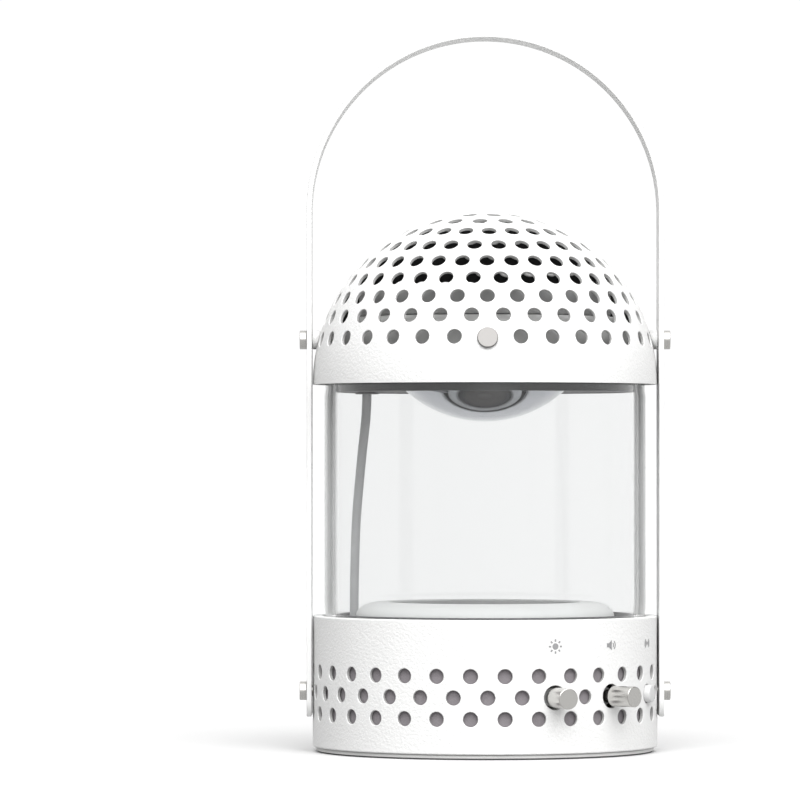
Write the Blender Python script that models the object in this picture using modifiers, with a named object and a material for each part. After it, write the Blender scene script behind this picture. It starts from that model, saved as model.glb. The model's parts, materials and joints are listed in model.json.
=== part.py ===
"""Lantern loudspeaker: a perforated dome and a perforated base joined by a glass tube, with a strap handle.

Lengths are in millimetres and become metres in the helpers. +Z is up and the front faces -Y. The origin is
the centre of the foot's underside. An azimuth is 0 at the front and grows towards the right side, +X.
"""

import math

import bmesh
import bpy
from mathutils import Matrix, Vector

MM = 0.001
GAP = 0.3  # clearance kept between pieces that touch

BODY_SIDES = 32  # sides of the large turned pieces
SHEET_SIDES = 32  # sides of the two perforated shells: one for each hole of a full row
INNER_SIDES = 16  # sides of pieces inside the housings
SMALL_SIDES = 10  # sides of screws, knobs and grommets

BODY_RADIUS = 63.0  # outside of the base drum and of the dome
SHEET = 1.6  # drum wall
FOOT_RADIUS = 61.7
FOOT_TOP = 1.6
DRUM_BOTTOM = 1.9
DRUM_TOP = 49.6
DRUM_INNER = BODY_RADIUS - SHEET
LINER_OUTER = DRUM_INNER - GAP
LINER_INNER = LINER_OUTER - 0.6

DOME_CENTRE = 134.3
DOME_EDGE = 134.0
DOME_WALL = 1.5
DOME_INNER = BODY_RADIUS - DOME_WALL

HOLE_RADIUS = 2.68
HOLE_SIDES = 6
HOLE_CORNER = HOLE_RADIUS * math.sqrt(math.pi / (HOLE_SIDES / 2 * math.sin(2 * math.pi / HOLE_SIDES)))
FULL_ROW = 32
PITCH = 360 / FULL_ROW
DRUM_ROWS = ((14.4, 0.5), (22.0, 0.0), (29.6, 0.5))  # height, shift in pitches
CONTROL_HEIGHT = 22.0  # the middle row, where the controls and lower strap screws are

# Latitude, holes in the row, azimuth of the first hole.
DOME_ROWS = (
    (14.77, FULL_ROW, 0.0),
    (22.3, FULL_ROW, PITCH / 2),
    (29.25, FULL_ROW, 0.0),
    (36.45, FULL_ROW, PITCH / 2),
    (43.93, FULL_ROW, 0.0),
    (52.0, 28, 6.43),
    (60.6, 23, 1.9),
    (69.0, 15, -5.5),
    (76.9, 10, 12.0),
    (84.6, 4, 30.0),
)
DOME_BANDS = (10.5, 18.5, 25.8, 32.8, 40.2, 48.0, 56.3, 64.8, 73.0, 81.0)  # latitudes between the rows
STUD_LATITUDE = 14.77

GLASS_RADIUS = 58.9
GLASS_NECK = 58.45
GLASS_INNER = 55.1
GLASS_BOTTOM = 48.5
GLASS_TOP = 136.0

DECK_TOP = 46.4
DECK_BOTTOM = 43.4
DECK_RADIUS = 60.0
POST_CIRCLE = 55.2
POST_RADIUS = 4.2
POST_FOOT = 5.2
SCREW_POSTS = (0, 132, 228)  # azimuths of the posts that take the bottom screws
STRAP_POSTS = (90, 270)  # azimuths of the posts that take the lower strap screws

PLATE_TOP = 140.6
PLATE_STEP = 138.1
PLATE_BOTTOM = 136.1

STRAP_INNER = 63.25
STRAP_THICKNESS = 1.85
STRAP_OUTER = STRAP_INNER + STRAP_THICKNESS
STRAP_WIDTH = 20.0
STRAP_CROWN = 197.2  # height of the centre of the half circle
STRAP_END = 13.0
UPPER_SCREW_HEIGHT = 150.36
SCREW_HEAD = 3.45
SCREW_SHANK = 2.0
SCREW_HOLE = 2.35

LIGHT_AZIMUTH = 22.5
VOLUME_AZIMUTH = 45.0
BUTTON_AZIMUTH = 67.5
PORT_AZIMUTH = 180.0
KNOB_RADIUS = 3.7
KNOB_REACH = 11.3
KNOB_HOLE = 4.3
BUTTON_RADIUS = 3.2
BUTTON_HOLE = 3.5
PORT_WIDTH = 9.0
PORT_HEIGHT = 3.3
BRACKET_OUTER = 48.8  # back face of the encoders and the switch, less the gap

LEAD_RADIUS = 1.75
LEAD_HOLE = 2.85
LEAD_TOP = Vector((-43.5, 6.0, 142.2))
LEAD_FOOT = Vector((-48.7, 10.0, 50.0))
LEAD_ROUTE = (
    LEAD_TOP,
    Vector((-43.5, 6.0, 133.0)),
    Vector((-43.9, 6.2, 122.0)),
    Vector((-45.6, 7.4, 107.0)),
    Vector((-47.7, 9.1, 85.0)),
    Vector((-48.5, 9.9, 65.0)),
    LEAD_FOOT,
    Vector((-48.7, 10.0, 43.0)),
    Vector((-47.3, 10.0, 38.5)),
    Vector((-45.2, 10.0, 34.5)),
)

REFLECTOR_RADIUS = 43.5
REFLECTOR_BOTTOM = 120.5
REFLECTOR_WALL = 1.3
REFLECTOR_SIDE = 29.4

PARTS = "lantern_speaker"
CUTTERS = "cutters"

# Colour, roughness, metallic.
WHITE_PAINT = ((0.86, 0.86, 0.85), 0.55, 0.0)
BLACK_PLASTIC = ((0.03, 0.03, 0.032), 0.6, 0.0)
GREY_PLASTIC = ((0.42, 0.42, 0.42), 0.55, 0.0)
PALE_RUBBER = ((0.62, 0.62, 0.61), 0.8, 0.0)
DARK_RUBBER = ((0.05, 0.05, 0.052), 0.75, 0.0)
GREY_CLOTH = ((0.30, 0.28, 0.30), 0.95, 0.0)
SATIN_METAL = ((0.58, 0.57, 0.55), 0.35, 1.0)
BRIGHT_METAL = ((0.62, 0.63, 0.66), 0.08, 1.0)
FERRITE = ((0.05, 0.05, 0.055), 0.5, 0.0)
PAPER = ((0.09, 0.08, 0.075), 0.8, 0.0)
GREEN_BOARD = ((0.03, 0.20, 0.09), 0.5, 0.0)
FROSTED = ((0.9, 0.9, 0.88), 0.6, 0.0)
CELL_WRAP = ((0.10, 0.22, 0.45), 0.4, 0.0)
CLEAR_GLASS = ((0.95, 0.97, 0.97), 0.02, 0.0)


def clear_scene():
    for old in list(bpy.data.objects):
        bpy.data.objects.remove(old, do_unlink=True)


def add_collections():
    for name in (PARTS, CUTTERS):
        group = bpy.data.collections.new(name)
        bpy.context.scene.collection.children.link(group)


def add_material(piece, finish):
    """A Principled material of the piece's own."""
    colour, roughness, metallic = finish
    made = bpy.data.materials.new(piece.name)
    made.use_nodes = True
    shader = made.node_tree.nodes["Principled BSDF"]
    shader.inputs["Base Color"].default_value = (*colour, 1)
    shader.inputs["Roughness"].default_value = roughness
    shader.inputs["Metallic"].default_value = metallic
    if finish is CLEAR_GLASS:
        shader.inputs["Transmission Weight"].default_value = 1.0
    piece.data.materials.append(made)


def add_piece(name, mesh, finish, place=None):
    """A visible part, or a cutter when it has no finish."""
    piece = bpy.data.objects.new(name, mesh)
    piece.matrix_world = place or Matrix()
    if finish is None:
        piece.hide_render = True
        piece.display_type = "WIRE"
        bpy.data.collections[CUTTERS].objects.link(piece)
    else:
        bpy.data.collections[PARTS].objects.link(piece)
        add_material(piece, finish)
    return piece


def outward(azimuth, distance, height, tilt=0.0):
    """Placement whose local Z points out of the body, local Y up and local X right as seen from outside."""
    turn = Matrix.Rotation(math.radians(azimuth), 4, "Z")
    move = Matrix.Translation(Vector((0, -distance, height)) * MM)
    aim = Matrix.Rotation(math.radians(90 - tilt), 4, "X")
    return turn @ move @ aim


def on_dome(azimuth, latitude, distance):
    """Placement on a ray from the dome's centre, with local Z along the ray."""
    flat = distance * math.cos(math.radians(latitude))
    rise = distance * math.sin(math.radians(latitude))
    return outward(azimuth, flat, DOME_CENTRE + rise, latitude)


def upright(x, y, z=0.0):
    return Matrix.Translation(Vector((x, y, z)) * MM)


def around(azimuth, distance):
    """The point at this azimuth and distance from the axis, as x and y."""
    angle = math.radians(azimuth)
    return distance * math.sin(angle), -distance * math.cos(angle)


def arc(centre_r, centre_z, radius_r, radius_z, start, end, steps):
    """Points along an elliptical arc, its angles in degrees from +r towards +z."""
    points = []
    for i in range(steps + 1):
        angle = math.radians(start + (end - start) * i / steps)
        points.append((centre_r + radius_r * math.cos(angle), centre_z + radius_z * math.sin(angle)))
    return points


def signed_area(outline):
    total = 0.0
    for (x0, y0), (x1, y1) in zip(outline, outline[1:] + outline[:1]):
        total += (x0 * y1 - x1 * y0) / 2
    return total


def turned(name, finish, outline, sides=INNER_SIDES, place=None):
    """A solid turned about its local Z from (radius, height) points. Off the axis it makes a ring."""
    if signed_area(outline) > 0:
        outline = outline[::-1]
    points = [(radius * MM, 0, height * MM) for radius, height in outline]
    edges = [(i, i + 1) for i in range(len(points) - 1)]
    if outline[0][0] > 0:
        edges.append((len(points) - 1, 0))
    mesh = bpy.data.meshes.new(name)
    mesh.from_pydata(points, edges, [])
    piece = add_piece(name, mesh, finish, place)
    screw = piece.modifiers.new("Turn", "SCREW")
    screw.steps = sides
    screw.render_steps = sides
    screw.use_merge_vertices = True
    screw.merge_threshold = 0.00001
    return piece


def mesh_piece(name, finish, build, place=None):
    """A piece whose mesh the function build adds to an empty bmesh."""
    shape = bmesh.new()
    build(shape)
    mesh = bpy.data.meshes.new(name)
    shape.to_mesh(mesh)
    shape.free()
    return add_piece(name, mesh, finish, place)


def add_rod(shape, place, radius, length, sides=SMALL_SIDES):
    """A cylinder centred on the placement, along its local Z."""
    bmesh.ops.create_cone(
        shape,
        cap_ends=True,
        segments=sides,
        radius1=radius * MM,
        radius2=radius * MM,
        depth=length * MM,
        matrix=place,
    )


def add_block(shape, low, high, place=None):
    """A box between two corners of the placement's frame."""
    low, high = Vector(low) * MM, Vector(high) * MM
    size = high - low
    inside = Matrix.Translation((low + high) / 2) @ Matrix.Diagonal((*size, 1))
    bmesh.ops.create_cube(shape, size=1, matrix=(place or Matrix()) @ inside)


def rod(name, finish, place, radius, length, sides=SMALL_SIDES):
    return mesh_piece(name, finish, lambda shape: add_rod(shape, Matrix(), radius, length, sides), place)


def block(name, finish, low, high, place=None):
    return mesh_piece(name, finish, lambda shape: add_block(shape, low, high), place)


def slab(name, finish, outline, thickness, place=None):
    """A flat closed outline of x and y points, thickened both ways along its local Z."""
    curve = bpy.data.curves.new(name, "CURVE")
    curve.dimensions = "2D"
    curve.fill_mode = "BOTH"
    curve.extrude = thickness / 2 * MM
    spline = curve.splines.new("POLY")
    spline.points.add(len(outline) - 1)
    for point, (x, y) in zip(spline.points, outline):
        point.co = (x * MM, y * MM, 0, 1)
    spline.use_cyclic_u = True
    return as_mesh(name, finish, curve, place)


def tube(name, finish, route, radius):
    """A round tube along a list of points."""
    curve = bpy.data.curves.new(name, "CURVE")
    curve.dimensions = "3D"
    curve.bevel_depth = radius * MM
    curve.bevel_resolution = 2
    curve.use_fill_caps = True
    spline = curve.splines.new("POLY")
    spline.points.add(len(route) - 1)
    for point, place in zip(spline.points, route):
        point.co = (*(place * MM), 1)
    return as_mesh(name, finish, curve)


def as_mesh(name, finish, curve, place=None):
    """The curve's solid as a mesh piece, its caps welded to its sides."""
    guide = bpy.data.objects.new(name + "_guide", curve)
    bpy.context.scene.collection.objects.link(guide)
    graph = bpy.context.evaluated_depsgraph_get()
    mesh = bpy.data.meshes.new_from_object(guide.evaluated_get(graph))
    bpy.data.objects.remove(guide)
    shape = bmesh.new()
    shape.from_mesh(mesh)
    bmesh.ops.remove_doubles(shape, verts=shape.verts, dist=0.000005)
    bmesh.ops.recalc_face_normals(shape, faces=shape.faces)
    shape.to_mesh(mesh)
    shape.free()
    return add_piece(name, mesh, finish, place)


def combine(piece, other, operation):
    step = piece.modifiers.new(operation.title(), "BOOLEAN")
    step.operation = operation
    step.object = other


def cut(piece, *cutters):
    for cutter in cutters:
        combine(piece, cutter, "DIFFERENCE")


def join(piece, *others):
    for other in others:
        combine(piece, other, "UNION")


def smooth_route(points, spacing):
    """Points about this far apart on a Catmull-Rom curve through the given points."""
    padded = [2 * points[0] - points[1], *points, 2 * points[-1] - points[-2]]
    route = [points[0]]
    for a, b, c, d in zip(padded, padded[1:], padded[2:], padded[3:]):
        steps = max(1, round((c - b).length / spacing))
        for i in range(1, steps + 1):
            t = i / steps
            pull = (c - a) * t + (2 * a - 5 * b + 4 * c - d) * t**2 + (3 * b - a - 3 * c + d) * t**3
            route.append(b + pull / 2)
    return route


def stadium(width, height, steps=6):
    """Outline with straight long sides and round ends."""
    radius = height / 2
    reach = width / 2 - radius
    right = arc(reach, 0, radius, radius, -90, 90, steps)
    left = arc(-reach, 0, radius, radius, 90, 270, steps)
    return right + left


def hole_field(name, places, length):
    """One cutter that holds a six-sided prism at each placement."""

    def build(shape):
        for place in places:
            add_rod(shape, place, HOLE_CORNER, length, HOLE_SIDES)

    return mesh_piece(name, None, build)


def taken(azimuth, others):
    """True where a row's hole gives way to a fastener, a control or the socket."""
    return any(abs((azimuth - other + 180) % 360 - 180) < 1 for other in others)


# Base


def make_foot_pad():
    outline = [(0, FOOT_TOP), (61.2, FOOT_TOP), (FOOT_RADIUS, 1.1), (FOOT_RADIUS, 0.4), (61.3, 0), (0, 0)]
    turned("foot_pad", PALE_RUBBER, outline, BODY_SIDES)


def make_bottom_plate():
    top = POST_FOOT - GAP
    radius = DRUM_INNER - 0.4
    outline = [(0, top), (radius, top), (radius, DRUM_BOTTOM), (0, DRUM_BOTTOM)]
    plate = turned("bottom_plate", BLACK_PLASTIC, outline, BODY_SIDES)

    def build(shape):
        for azimuth in SCREW_POSTS:
            centre = upright(*around(azimuth, POST_CIRCLE), DRUM_BOTTOM)
            add_rod(shape, centre, 3.2, 3.6)
            add_rod(shape, centre, 1.5, 12.0)

    screws = mesh_piece("bottom_screw_holes", None, build)
    screws.modifiers.new("Merge overlap", "WELD").merge_threshold = 0.00001
    combine(plate, screws, "DIFFERENCE")
    plate.modifiers[-1].use_self = True


def make_bottom_screws():
    outline = [(0, 12.0), (1.2, 12.0), (1.2, 3.4), (2.9, 3.4), (2.9, 2.1), (0, 2.1)]
    for name, azimuth in zip(("front", "right_rear", "left_rear"), SCREW_POSTS):
        place = upright(*around(azimuth, POST_CIRCLE))
        turned("bottom_screw_" + name, SATIN_METAL, outline, 12, place)


def make_base_drum():
    rows = [height for height, _ in DRUM_ROWS]
    bands = [rows[0] - 3.8, rows[0] + 3.8, rows[1] + 3.8, rows[2] + 3.8]
    outline = [(59.6, DRUM_TOP), (62.5, DRUM_TOP), (BODY_RADIUS, DRUM_TOP - 0.5)]
    outline += [(BODY_RADIUS, height) for height in reversed(bands)]
    outline += [(BODY_RADIUS, DRUM_BOTTOM), (DRUM_INNER, DRUM_BOTTOM)]
    outline += [(DRUM_INNER, height) for height in bands]
    outline += [(DRUM_INNER, DRUM_TOP - SHEET), (59.6, DRUM_TOP - SHEET)]
    drum = turned("base_drum", WHITE_PAINT, outline, SHEET_SIDES, half_side_turn())
    controls = (LIGHT_AZIMUTH, VOLUME_AZIMUTH, BUTTON_AZIMUTH, PORT_AZIMUTH, *STRAP_POSTS)
    places = []
    for height, shift in DRUM_ROWS:
        for i in range(FULL_ROW):
            azimuth = (i + shift) * PITCH
            if shift or not taken(azimuth, controls):
                places.append(outward(azimuth, BODY_RADIUS, height))
    cut(drum, hole_field("drum_holes", places, 8.0), *control_cutters())


def half_side_turn():
    """Turns a perforated shell so that each hole of a full row falls in the middle of a side."""
    return Matrix.Rotation(math.pi / SHEET_SIDES, 4, "Z")


def control_cutters():
    """Round holes for the knobs, the button and the strap screws, and the slot of the socket."""

    def build(shape):
        for azimuth, radius in hole_sizes().items():
            add_rod(shape, outward(azimuth, BODY_RADIUS, CONTROL_HEIGHT), radius, 8.0)

    round_holes = mesh_piece("control_holes", None, build)
    slot = slab(
        "socket_slot",
        None,
        stadium(PORT_WIDTH + 0.8, PORT_HEIGHT + 0.8),
        8.0,
        outward(PORT_AZIMUTH, BODY_RADIUS, CONTROL_HEIGHT),
    )
    return round_holes, slot


def hole_sizes():
    """Radius of each round hole in the drum's middle row, by azimuth."""
    sizes = {LIGHT_AZIMUTH: KNOB_HOLE, VOLUME_AZIMUTH: KNOB_HOLE, BUTTON_AZIMUTH: BUTTON_HOLE}
    sizes.update({azimuth: SCREW_HOLE for azimuth in STRAP_POSTS})
    return sizes


def make_base_mesh():
    outline = [(LINER_INNER, 47.0), (LINER_OUTER, 47.0), (LINER_OUTER, 5.5), (LINER_INNER, 5.5)]
    liner = turned("base_mesh", GREY_CLOTH, outline, SHEET_SIDES, half_side_turn())

    def build(shape):
        for azimuth, radius in hole_sizes().items():
            wider = radius + (1.6 if azimuth == BUTTON_AZIMUTH else GAP)
            add_rod(shape, outward(azimuth, LINER_OUTER, CONTROL_HEIGHT), wider, 5.0)
        socket = outward(PORT_AZIMUTH, LINER_OUTER, CONTROL_HEIGHT)
        half_width = PORT_WIDTH / 2 + 1
        half_height = PORT_HEIGHT / 2 + 1
        add_block(shape, (-half_width, -half_height, -2.5), (half_width, half_height, 2.5), socket)

    cut(liner, mesh_piece("liner_holes", None, build))


def make_deck_frame():
    outline = [
        (33.5, DECK_TOP),
        (59.3, DECK_TOP),
        (59.3, DRUM_TOP - SHEET - GAP),
        (DECK_RADIUS, DRUM_TOP - SHEET - GAP),
        (DECK_RADIUS, DECK_BOTTOM),
        (33.5, DECK_BOTTOM),
    ]
    deck = turned("deck_frame", BLACK_PLASTIC, outline, BODY_SIDES)

    def posts(shape):
        height = DECK_BOTTOM + 1 - POST_FOOT
        for azimuth in SCREW_POSTS + STRAP_POSTS:
            place = upright(*around(azimuth, POST_CIRCLE), POST_FOOT + height / 2)
            add_rod(shape, place, POST_RADIUS, height)

    def bores(shape):
        for azimuth in SCREW_POSTS:
            add_rod(shape, upright(*around(azimuth, POST_CIRCLE), 8.0), 1.5, 12.0)
        for azimuth in STRAP_POSTS:
            add_rod(shape, outward(azimuth, POST_CIRCLE + 1, CONTROL_HEIGHT), SCREW_HOLE, 8.0)
        add_rod(shape, upright(LEAD_FOOT.x, LEAD_FOOT.y, DECK_BOTTOM), LEAD_HOLE, 12.0)

    join(deck, mesh_piece("deck_posts", None, posts))
    cut(deck, mesh_piece("deck_bores", None, bores))


def make_gaskets():
    lip_inner, lip_outer, foot_outer = 52.8, GLASS_INNER - GAP, 58.9
    lower = [
        (lip_inner, 50.2),
        (lip_outer, 50.2),
        (lip_outer, GLASS_BOTTOM - GAP),
        (foot_outer, GLASS_BOTTOM - GAP),
        (foot_outer, DECK_TOP + GAP),
        (lip_inner, DECK_TOP + GAP),
    ]
    upper = [
        (lip_inner, PLATE_STEP - GAP),
        (foot_outer, PLATE_STEP - GAP),
        (foot_outer, GLASS_TOP + GAP),
        (lip_outer, GLASS_TOP + GAP),
        (lip_outer, 131.1),
        (lip_inner, 131.1),
    ]
    turned("lower_gasket", DARK_RUBBER, lower, BODY_SIDES)
    turned("upper_gasket", DARK_RUBBER, upper, BODY_SIDES)


def make_glass_tube():
    outline = [
        (GLASS_INNER, GLASS_TOP),
        (58.3, GLASS_TOP),
        (GLASS_NECK, 134.0),
        (GLASS_RADIUS, 129.5),
        (GLASS_RADIUS, 54.5),
        (GLASS_NECK, 50.0),
        (58.3, GLASS_BOTTOM),
        (GLASS_INNER, GLASS_BOTTOM),
    ]
    turned("glass_tube", CLEAR_GLASS, outline, BODY_SIDES)


# Bass driver in the base


def make_driver_trim():
    shoulder = arc(38.5, 49.6, 8.75, 5.0, 90, 0, 4)
    outline = [(34.3, 54.6), *shoulder, (47.25, 46.7), (39.3, 46.7)]
    outline += [(39.3, 48.5), (33.7, 48.5), (33.7, 54.0)]
    turned("driver_trim", WHITE_PAINT, outline, BODY_SIDES)


def make_driver_basket():
    outline = [
        (31.6, 48.2),
        (39.0, 48.2),
        (39.0, 46.7),
        (33.1, 46.7),
        (33.1, 43.0),
        (22.8, 25.2),
        (8.9, 25.2),
        (8.9, 26.7),
        (21.9, 26.7),
        (31.6, 43.0),
    ]
    basket = turned("driver_basket", BLACK_PLASTIC, outline)

    def windows(shape):
        for azimuth in (45, 135, 225, 315):
            add_block(shape, (-9, -6, -8), (9, 6, 8), outward(azimuth, 29, 35))

    cut(basket, mesh_piece("basket_windows", None, windows))


def make_driver_motor():
    turned("driver_top_plate", SATIN_METAL, [(9.0, 24.9), (20.5, 24.9), (20.5, 21.9), (9.0, 21.9)])
    turned("driver_magnet", FERRITE, [(12.0, 21.6), (21.0, 21.6), (21.0, 13.4), (12.0, 13.4)])
    pole = [(0, 24.9), (7.2, 24.9), (7.2, 13.1), (20.0, 13.1), (20.0, 9.6), (0, 9.6)]
    turned("driver_yoke", SATIN_METAL, pole)


def make_driver_cone():
    """The cone with the voice coil's former, which runs in the motor's gap, and the cap over its neck."""
    cone = [(26.0, 47.0), (26.9, 46.6), (8.4, 33.9), (8.4, 19.0), (7.8, 19.0), (7.8, 34.4)]
    turned("driver_cone", PAPER, cone)
    cap = [(0, 40.2), (4.2, 39.7), (7.8, 38.4), (10.3, 36.8)]
    cap += [(9.5, 36.8), (7.2, 38.0), (3.8, 39.2), (0, 39.6)]
    turned("driver_dust_cap", PAPER, cap)


def make_driver_suspension():
    surround = [
        (25.4, 48.0),
        (27.3, 48.2),
        (29.5, 50.4),
        (31.7, 49.1),
        (33.4, 49.1),
        (33.4, 48.5),
        (31.2, 48.5),
        (29.5, 49.8),
        (27.8, 47.5),
        (25.4, 47.5),
    ]
    turned("driver_surround", DARK_RUBBER, surround)
    wave = [(9.0 + 13.5 * i / 4, 30.4 + (0.5 if i % 2 else -0.5)) for i in range(5)]
    under = [(radius, height - 0.5) for radius, height in wave[::-1]]
    turned("driver_spider", PAPER, wave + under)


# Electronics in the base


def make_battery():
    wrap = [(0, 65.6), (2.8, 65.6), (2.8, 65.0), (9.1, 65.0), (9.1, 0), (0, 0)]
    for name, height in (("lower", 15.6), ("upper", 34.1)):
        along_x = upright(-32.8, 39.0, height) @ Matrix.Rotation(math.radians(90), 4, "Y")
        turned("battery_cell_" + name, CELL_WRAP, wrap, SMALL_SIDES, along_x)
    holder = block("battery_holder", BLACK_PLASTIC, (-34.9, 31.0, POST_FOOT), (34.9, 46.0, 40.0))
    cut(holder, block("battery_room", None, (-33.4, 25.0, POST_FOOT + 1), (33.4, 52.0, 45.0)))


def make_main_board():
    board = block("main_board", GREEN_BOARD, (-41.6, -26.0, 6.0), (-40.0, 24.0, 38.0))

    def components(shape):
        add_block(shape, (-43.8, -20.0, 12.0), (-41.0, -8.0, 24.0))
        add_block(shape, (-44.6, -4.0, 10.0), (-41.0, 3.0, 17.0))
        add_block(shape, (-40.6, -16.0, 12.0), (-38.0, 6.0, 18.0))

    join(board, mesh_piece("board_components", None, components))


def make_control_bracket():
    first, last, steps = 12, 78, 8
    azimuths = [first + (last - first) * i / steps for i in range(steps + 1)]
    outline = [around(azimuth, BRACKET_OUTER) for azimuth in azimuths]
    outline += [around(azimuth, BRACKET_OUTER - 2) for azimuth in reversed(azimuths)]
    height = 33.0 - POST_FOOT
    slab("control_bracket", BLACK_PLASTIC, outline, height, upright(0, 0, POST_FOOT + height / 2))


def make_encoder(name, azimuth):
    """A rotary encoder: its case, its threaded neck, and the bore that its knob's stem turns in."""
    back = BRACKET_OUTER + GAP
    place = outward(azimuth, back, CONTROL_HEIGHT)
    case = block(name, GREY_PLASTIC, (-5.5, -5.8, 0), (5.5, 5.8, 6.5), place)
    neck = outward(azimuth, back + 8.0, CONTROL_HEIGHT)
    join(case, rod(name + "_neck", None, neck, 3.4, 5.0))
    cut(case, rod(name + "_bore", None, neck, 2.1, 12.0))


def make_switch():
    back = BRACKET_OUTER + GAP
    place = outward(BUTTON_AZIMUTH, back, CONTROL_HEIGHT)
    case = block("pairing_switch", BLACK_PLASTIC, (-3, -3, 0), (3, 3, 3.4), place)
    plunger = rod("switch_plunger", None, outward(BUTTON_AZIMUTH, back + 4.6, CONTROL_HEIGHT), 1.5, 4.0)
    join(case, plunger)


def make_knob(name, azimuth):
    """A plain round knob on a thin stem. Its origin is on its turning axis, at the drum's surface."""
    outline = [
        (0, KNOB_REACH),
        (KNOB_RADIUS - 0.35, KNOB_REACH),
        (KNOB_RADIUS, KNOB_REACH - 0.35),
        (KNOB_RADIUS, -2.6),
        (1.7, -2.6),
        (1.7, -10.0),
        (0, -10.0),
    ]
    turned(name, SATIN_METAL, outline, INNER_SIDES, outward(azimuth, BODY_RADIUS, CONTROL_HEIGHT))


def make_button():
    """The wireless pairing button. Its collar bears on the drum's inside, so it can't fall out."""
    outline = [
        (0, 2.3),
        (BUTTON_RADIUS - 0.5, 2.3),
        (BUTTON_RADIUS, 1.8),
        (BUTTON_RADIUS, -2.1),
        (4.6, -2.1),
        (4.6, -3.2),
        (1.5, -3.2),
        (1.5, -6.0),
        (0, -6.0),
    ]
    place = outward(BUTTON_AZIMUTH, BODY_RADIUS, CONTROL_HEIGHT)
    turned("pairing_button", WHITE_PAINT, outline, INNER_SIDES, place)


def make_charge_port():
    """A socket shell with a tongue, open at the back of the drum, on its small board."""
    depth = 8.1
    middle = outward(PORT_AZIMUTH, 54.5 + depth / 2, CONTROL_HEIGHT)
    shell = slab("charge_port", SATIN_METAL, stadium(PORT_WIDTH, PORT_HEIGHT), depth, middle)
    mouth = outward(PORT_AZIMUTH, 54.5 + depth, CONTROL_HEIGHT)
    cut(shell, slab("socket_mouth", None, stadium(PORT_WIDTH - 0.7, PORT_HEIGHT - 0.7), 13.2, mouth))
    tongue = block("socket_tongue", None, (-3.3, -0.35, -7.3), (3.3, 0.35, -1.0), mouth)
    join(shell, tongue)
    block("port_board", GREEN_BOARD, (-6.5, 48.6, 19.0), (6.5, 59.5, 20.0))


def make_lead():
    """The lamp's lead, held at both ends, with its two grommets and connectors."""
    tube("lamp_lead", GREY_PLASTIC, smooth_route(list(LEAD_ROUTE), 5.0), LEAD_RADIUS)
    bore = LEAD_RADIUS + GAP
    sleeve = [(bore, 48.6), (2.55, 48.6), (2.55, 43.6), (bore, 43.6)]
    turned("lead_grommet_lower", DARK_RUBBER, sleeve, 12, upright(LEAD_FOOT.x, LEAD_FOOT.y))
    collar = [(bore, 133.9), (3.2, 133.9), (3.2, 131.1), (4.4, 131.1), (4.4, 129.7), (bore, 129.7)]
    turned("lead_grommet_upper", DARK_RUBBER, collar, 12, upright(LEAD_TOP.x, LEAD_TOP.y))
    block("lead_connector_lower", FROSTED, (-48.3, 6.5, 27.0), (-41.9, 13.5, 33.0))
    block("lead_connector_upper", FROSTED, (-47.0, 2.5, 142.6), (-40.0, 9.5, 147.8))


# Lamp and treble driver in the dome


def reflector_height(radius, sphere):
    """Height of the reflector's spherical surface at this distance from its axis."""
    centre = REFLECTOR_BOTTOM + REFLECTOR_RADIUS
    return centre - math.sqrt(sphere**2 - radius**2)


def make_reflector_dome():
    """A polished cup that hangs under the lamp plate on a central boss."""
    steps = 4
    radii = [REFLECTOR_SIDE * i / steps for i in range(steps + 1)]
    outside = [(radius, reflector_height(radius, REFLECTOR_RADIUS)) for radius in radii]
    inner_side = REFLECTOR_SIDE - REFLECTOR_WALL
    boss = 4.0
    inner_radii = [boss + (inner_side - boss) * i / steps for i in range(steps + 1)]
    inner_sphere = REFLECTOR_RADIUS - REFLECTOR_WALL
    inside = [(radius, reflector_height(radius, inner_sphere)) for radius in inner_radii]
    top = PLATE_BOTTOM - GAP
    outline = outside + [(REFLECTOR_SIDE, top), (inner_side, top)] + inside[::-1]
    outline += [(boss, top), (1.8, top), (1.8, 125.0), (0, 125.0)]
    turned("reflector_dome", BRIGHT_METAL, outline, 24)
    screw = [(0, 142.9), (3.0, 142.9), (3.0, 140.9), (1.4, 140.9), (1.4, 127.0), (0, 127.0)]
    turned("reflector_screw", SATIN_METAL, screw, 12)


def make_lamp_plate():
    outline = [
        (0, PLATE_TOP),
        (60.3, PLATE_TOP),
        (60.3, PLATE_STEP),
        (52.3, PLATE_STEP),
        (52.3, PLATE_BOTTOM),
        (0, PLATE_BOTTOM),
    ]
    plate = turned("lamp_plate", SATIN_METAL, outline, BODY_SIDES)

    def bores(shape):
        add_rod(shape, upright(LEAD_TOP.x, LEAD_TOP.y, PLATE_STEP), LEAD_HOLE, 12.0)
        add_rod(shape, upright(0, 0, PLATE_STEP), 1.8, 12.0)

    cut(plate, mesh_piece("plate_bores", None, bores))


def make_lamp():
    """The ring of light emitters and the frosted window under it."""
    plate = [(31.0, 135.8), (50.0, 135.8), (50.0, 134.2), (31.0, 134.2)]
    board = turned("led_board", WHITE_PAINT, plate, BODY_SIDES)

    def emitters(shape):
        for i in range(12):
            add_block(shape, (-1.4, -0.6, -1.4), (1.4, 0.6, 1.4), outward(15 + 30 * i, 40.0, 134.1))

    join(board, mesh_piece("light_emitters", None, emitters))
    cut(board, rod("board_lead_hole", None, upright(LEAD_TOP.x, LEAD_TOP.y, 135.0), LEAD_HOLE, 6.0))
    window = [(30.2, 133.2), (52.3, 133.2), (52.3, 131.4), (30.2, 131.4)]
    window = turned("light_window", FROSTED, window, BODY_SIDES)
    cut(window, rod("window_lead_hole", None, upright(LEAD_TOP.x, LEAD_TOP.y, 132.3), 3.5, 6.0))


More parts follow.
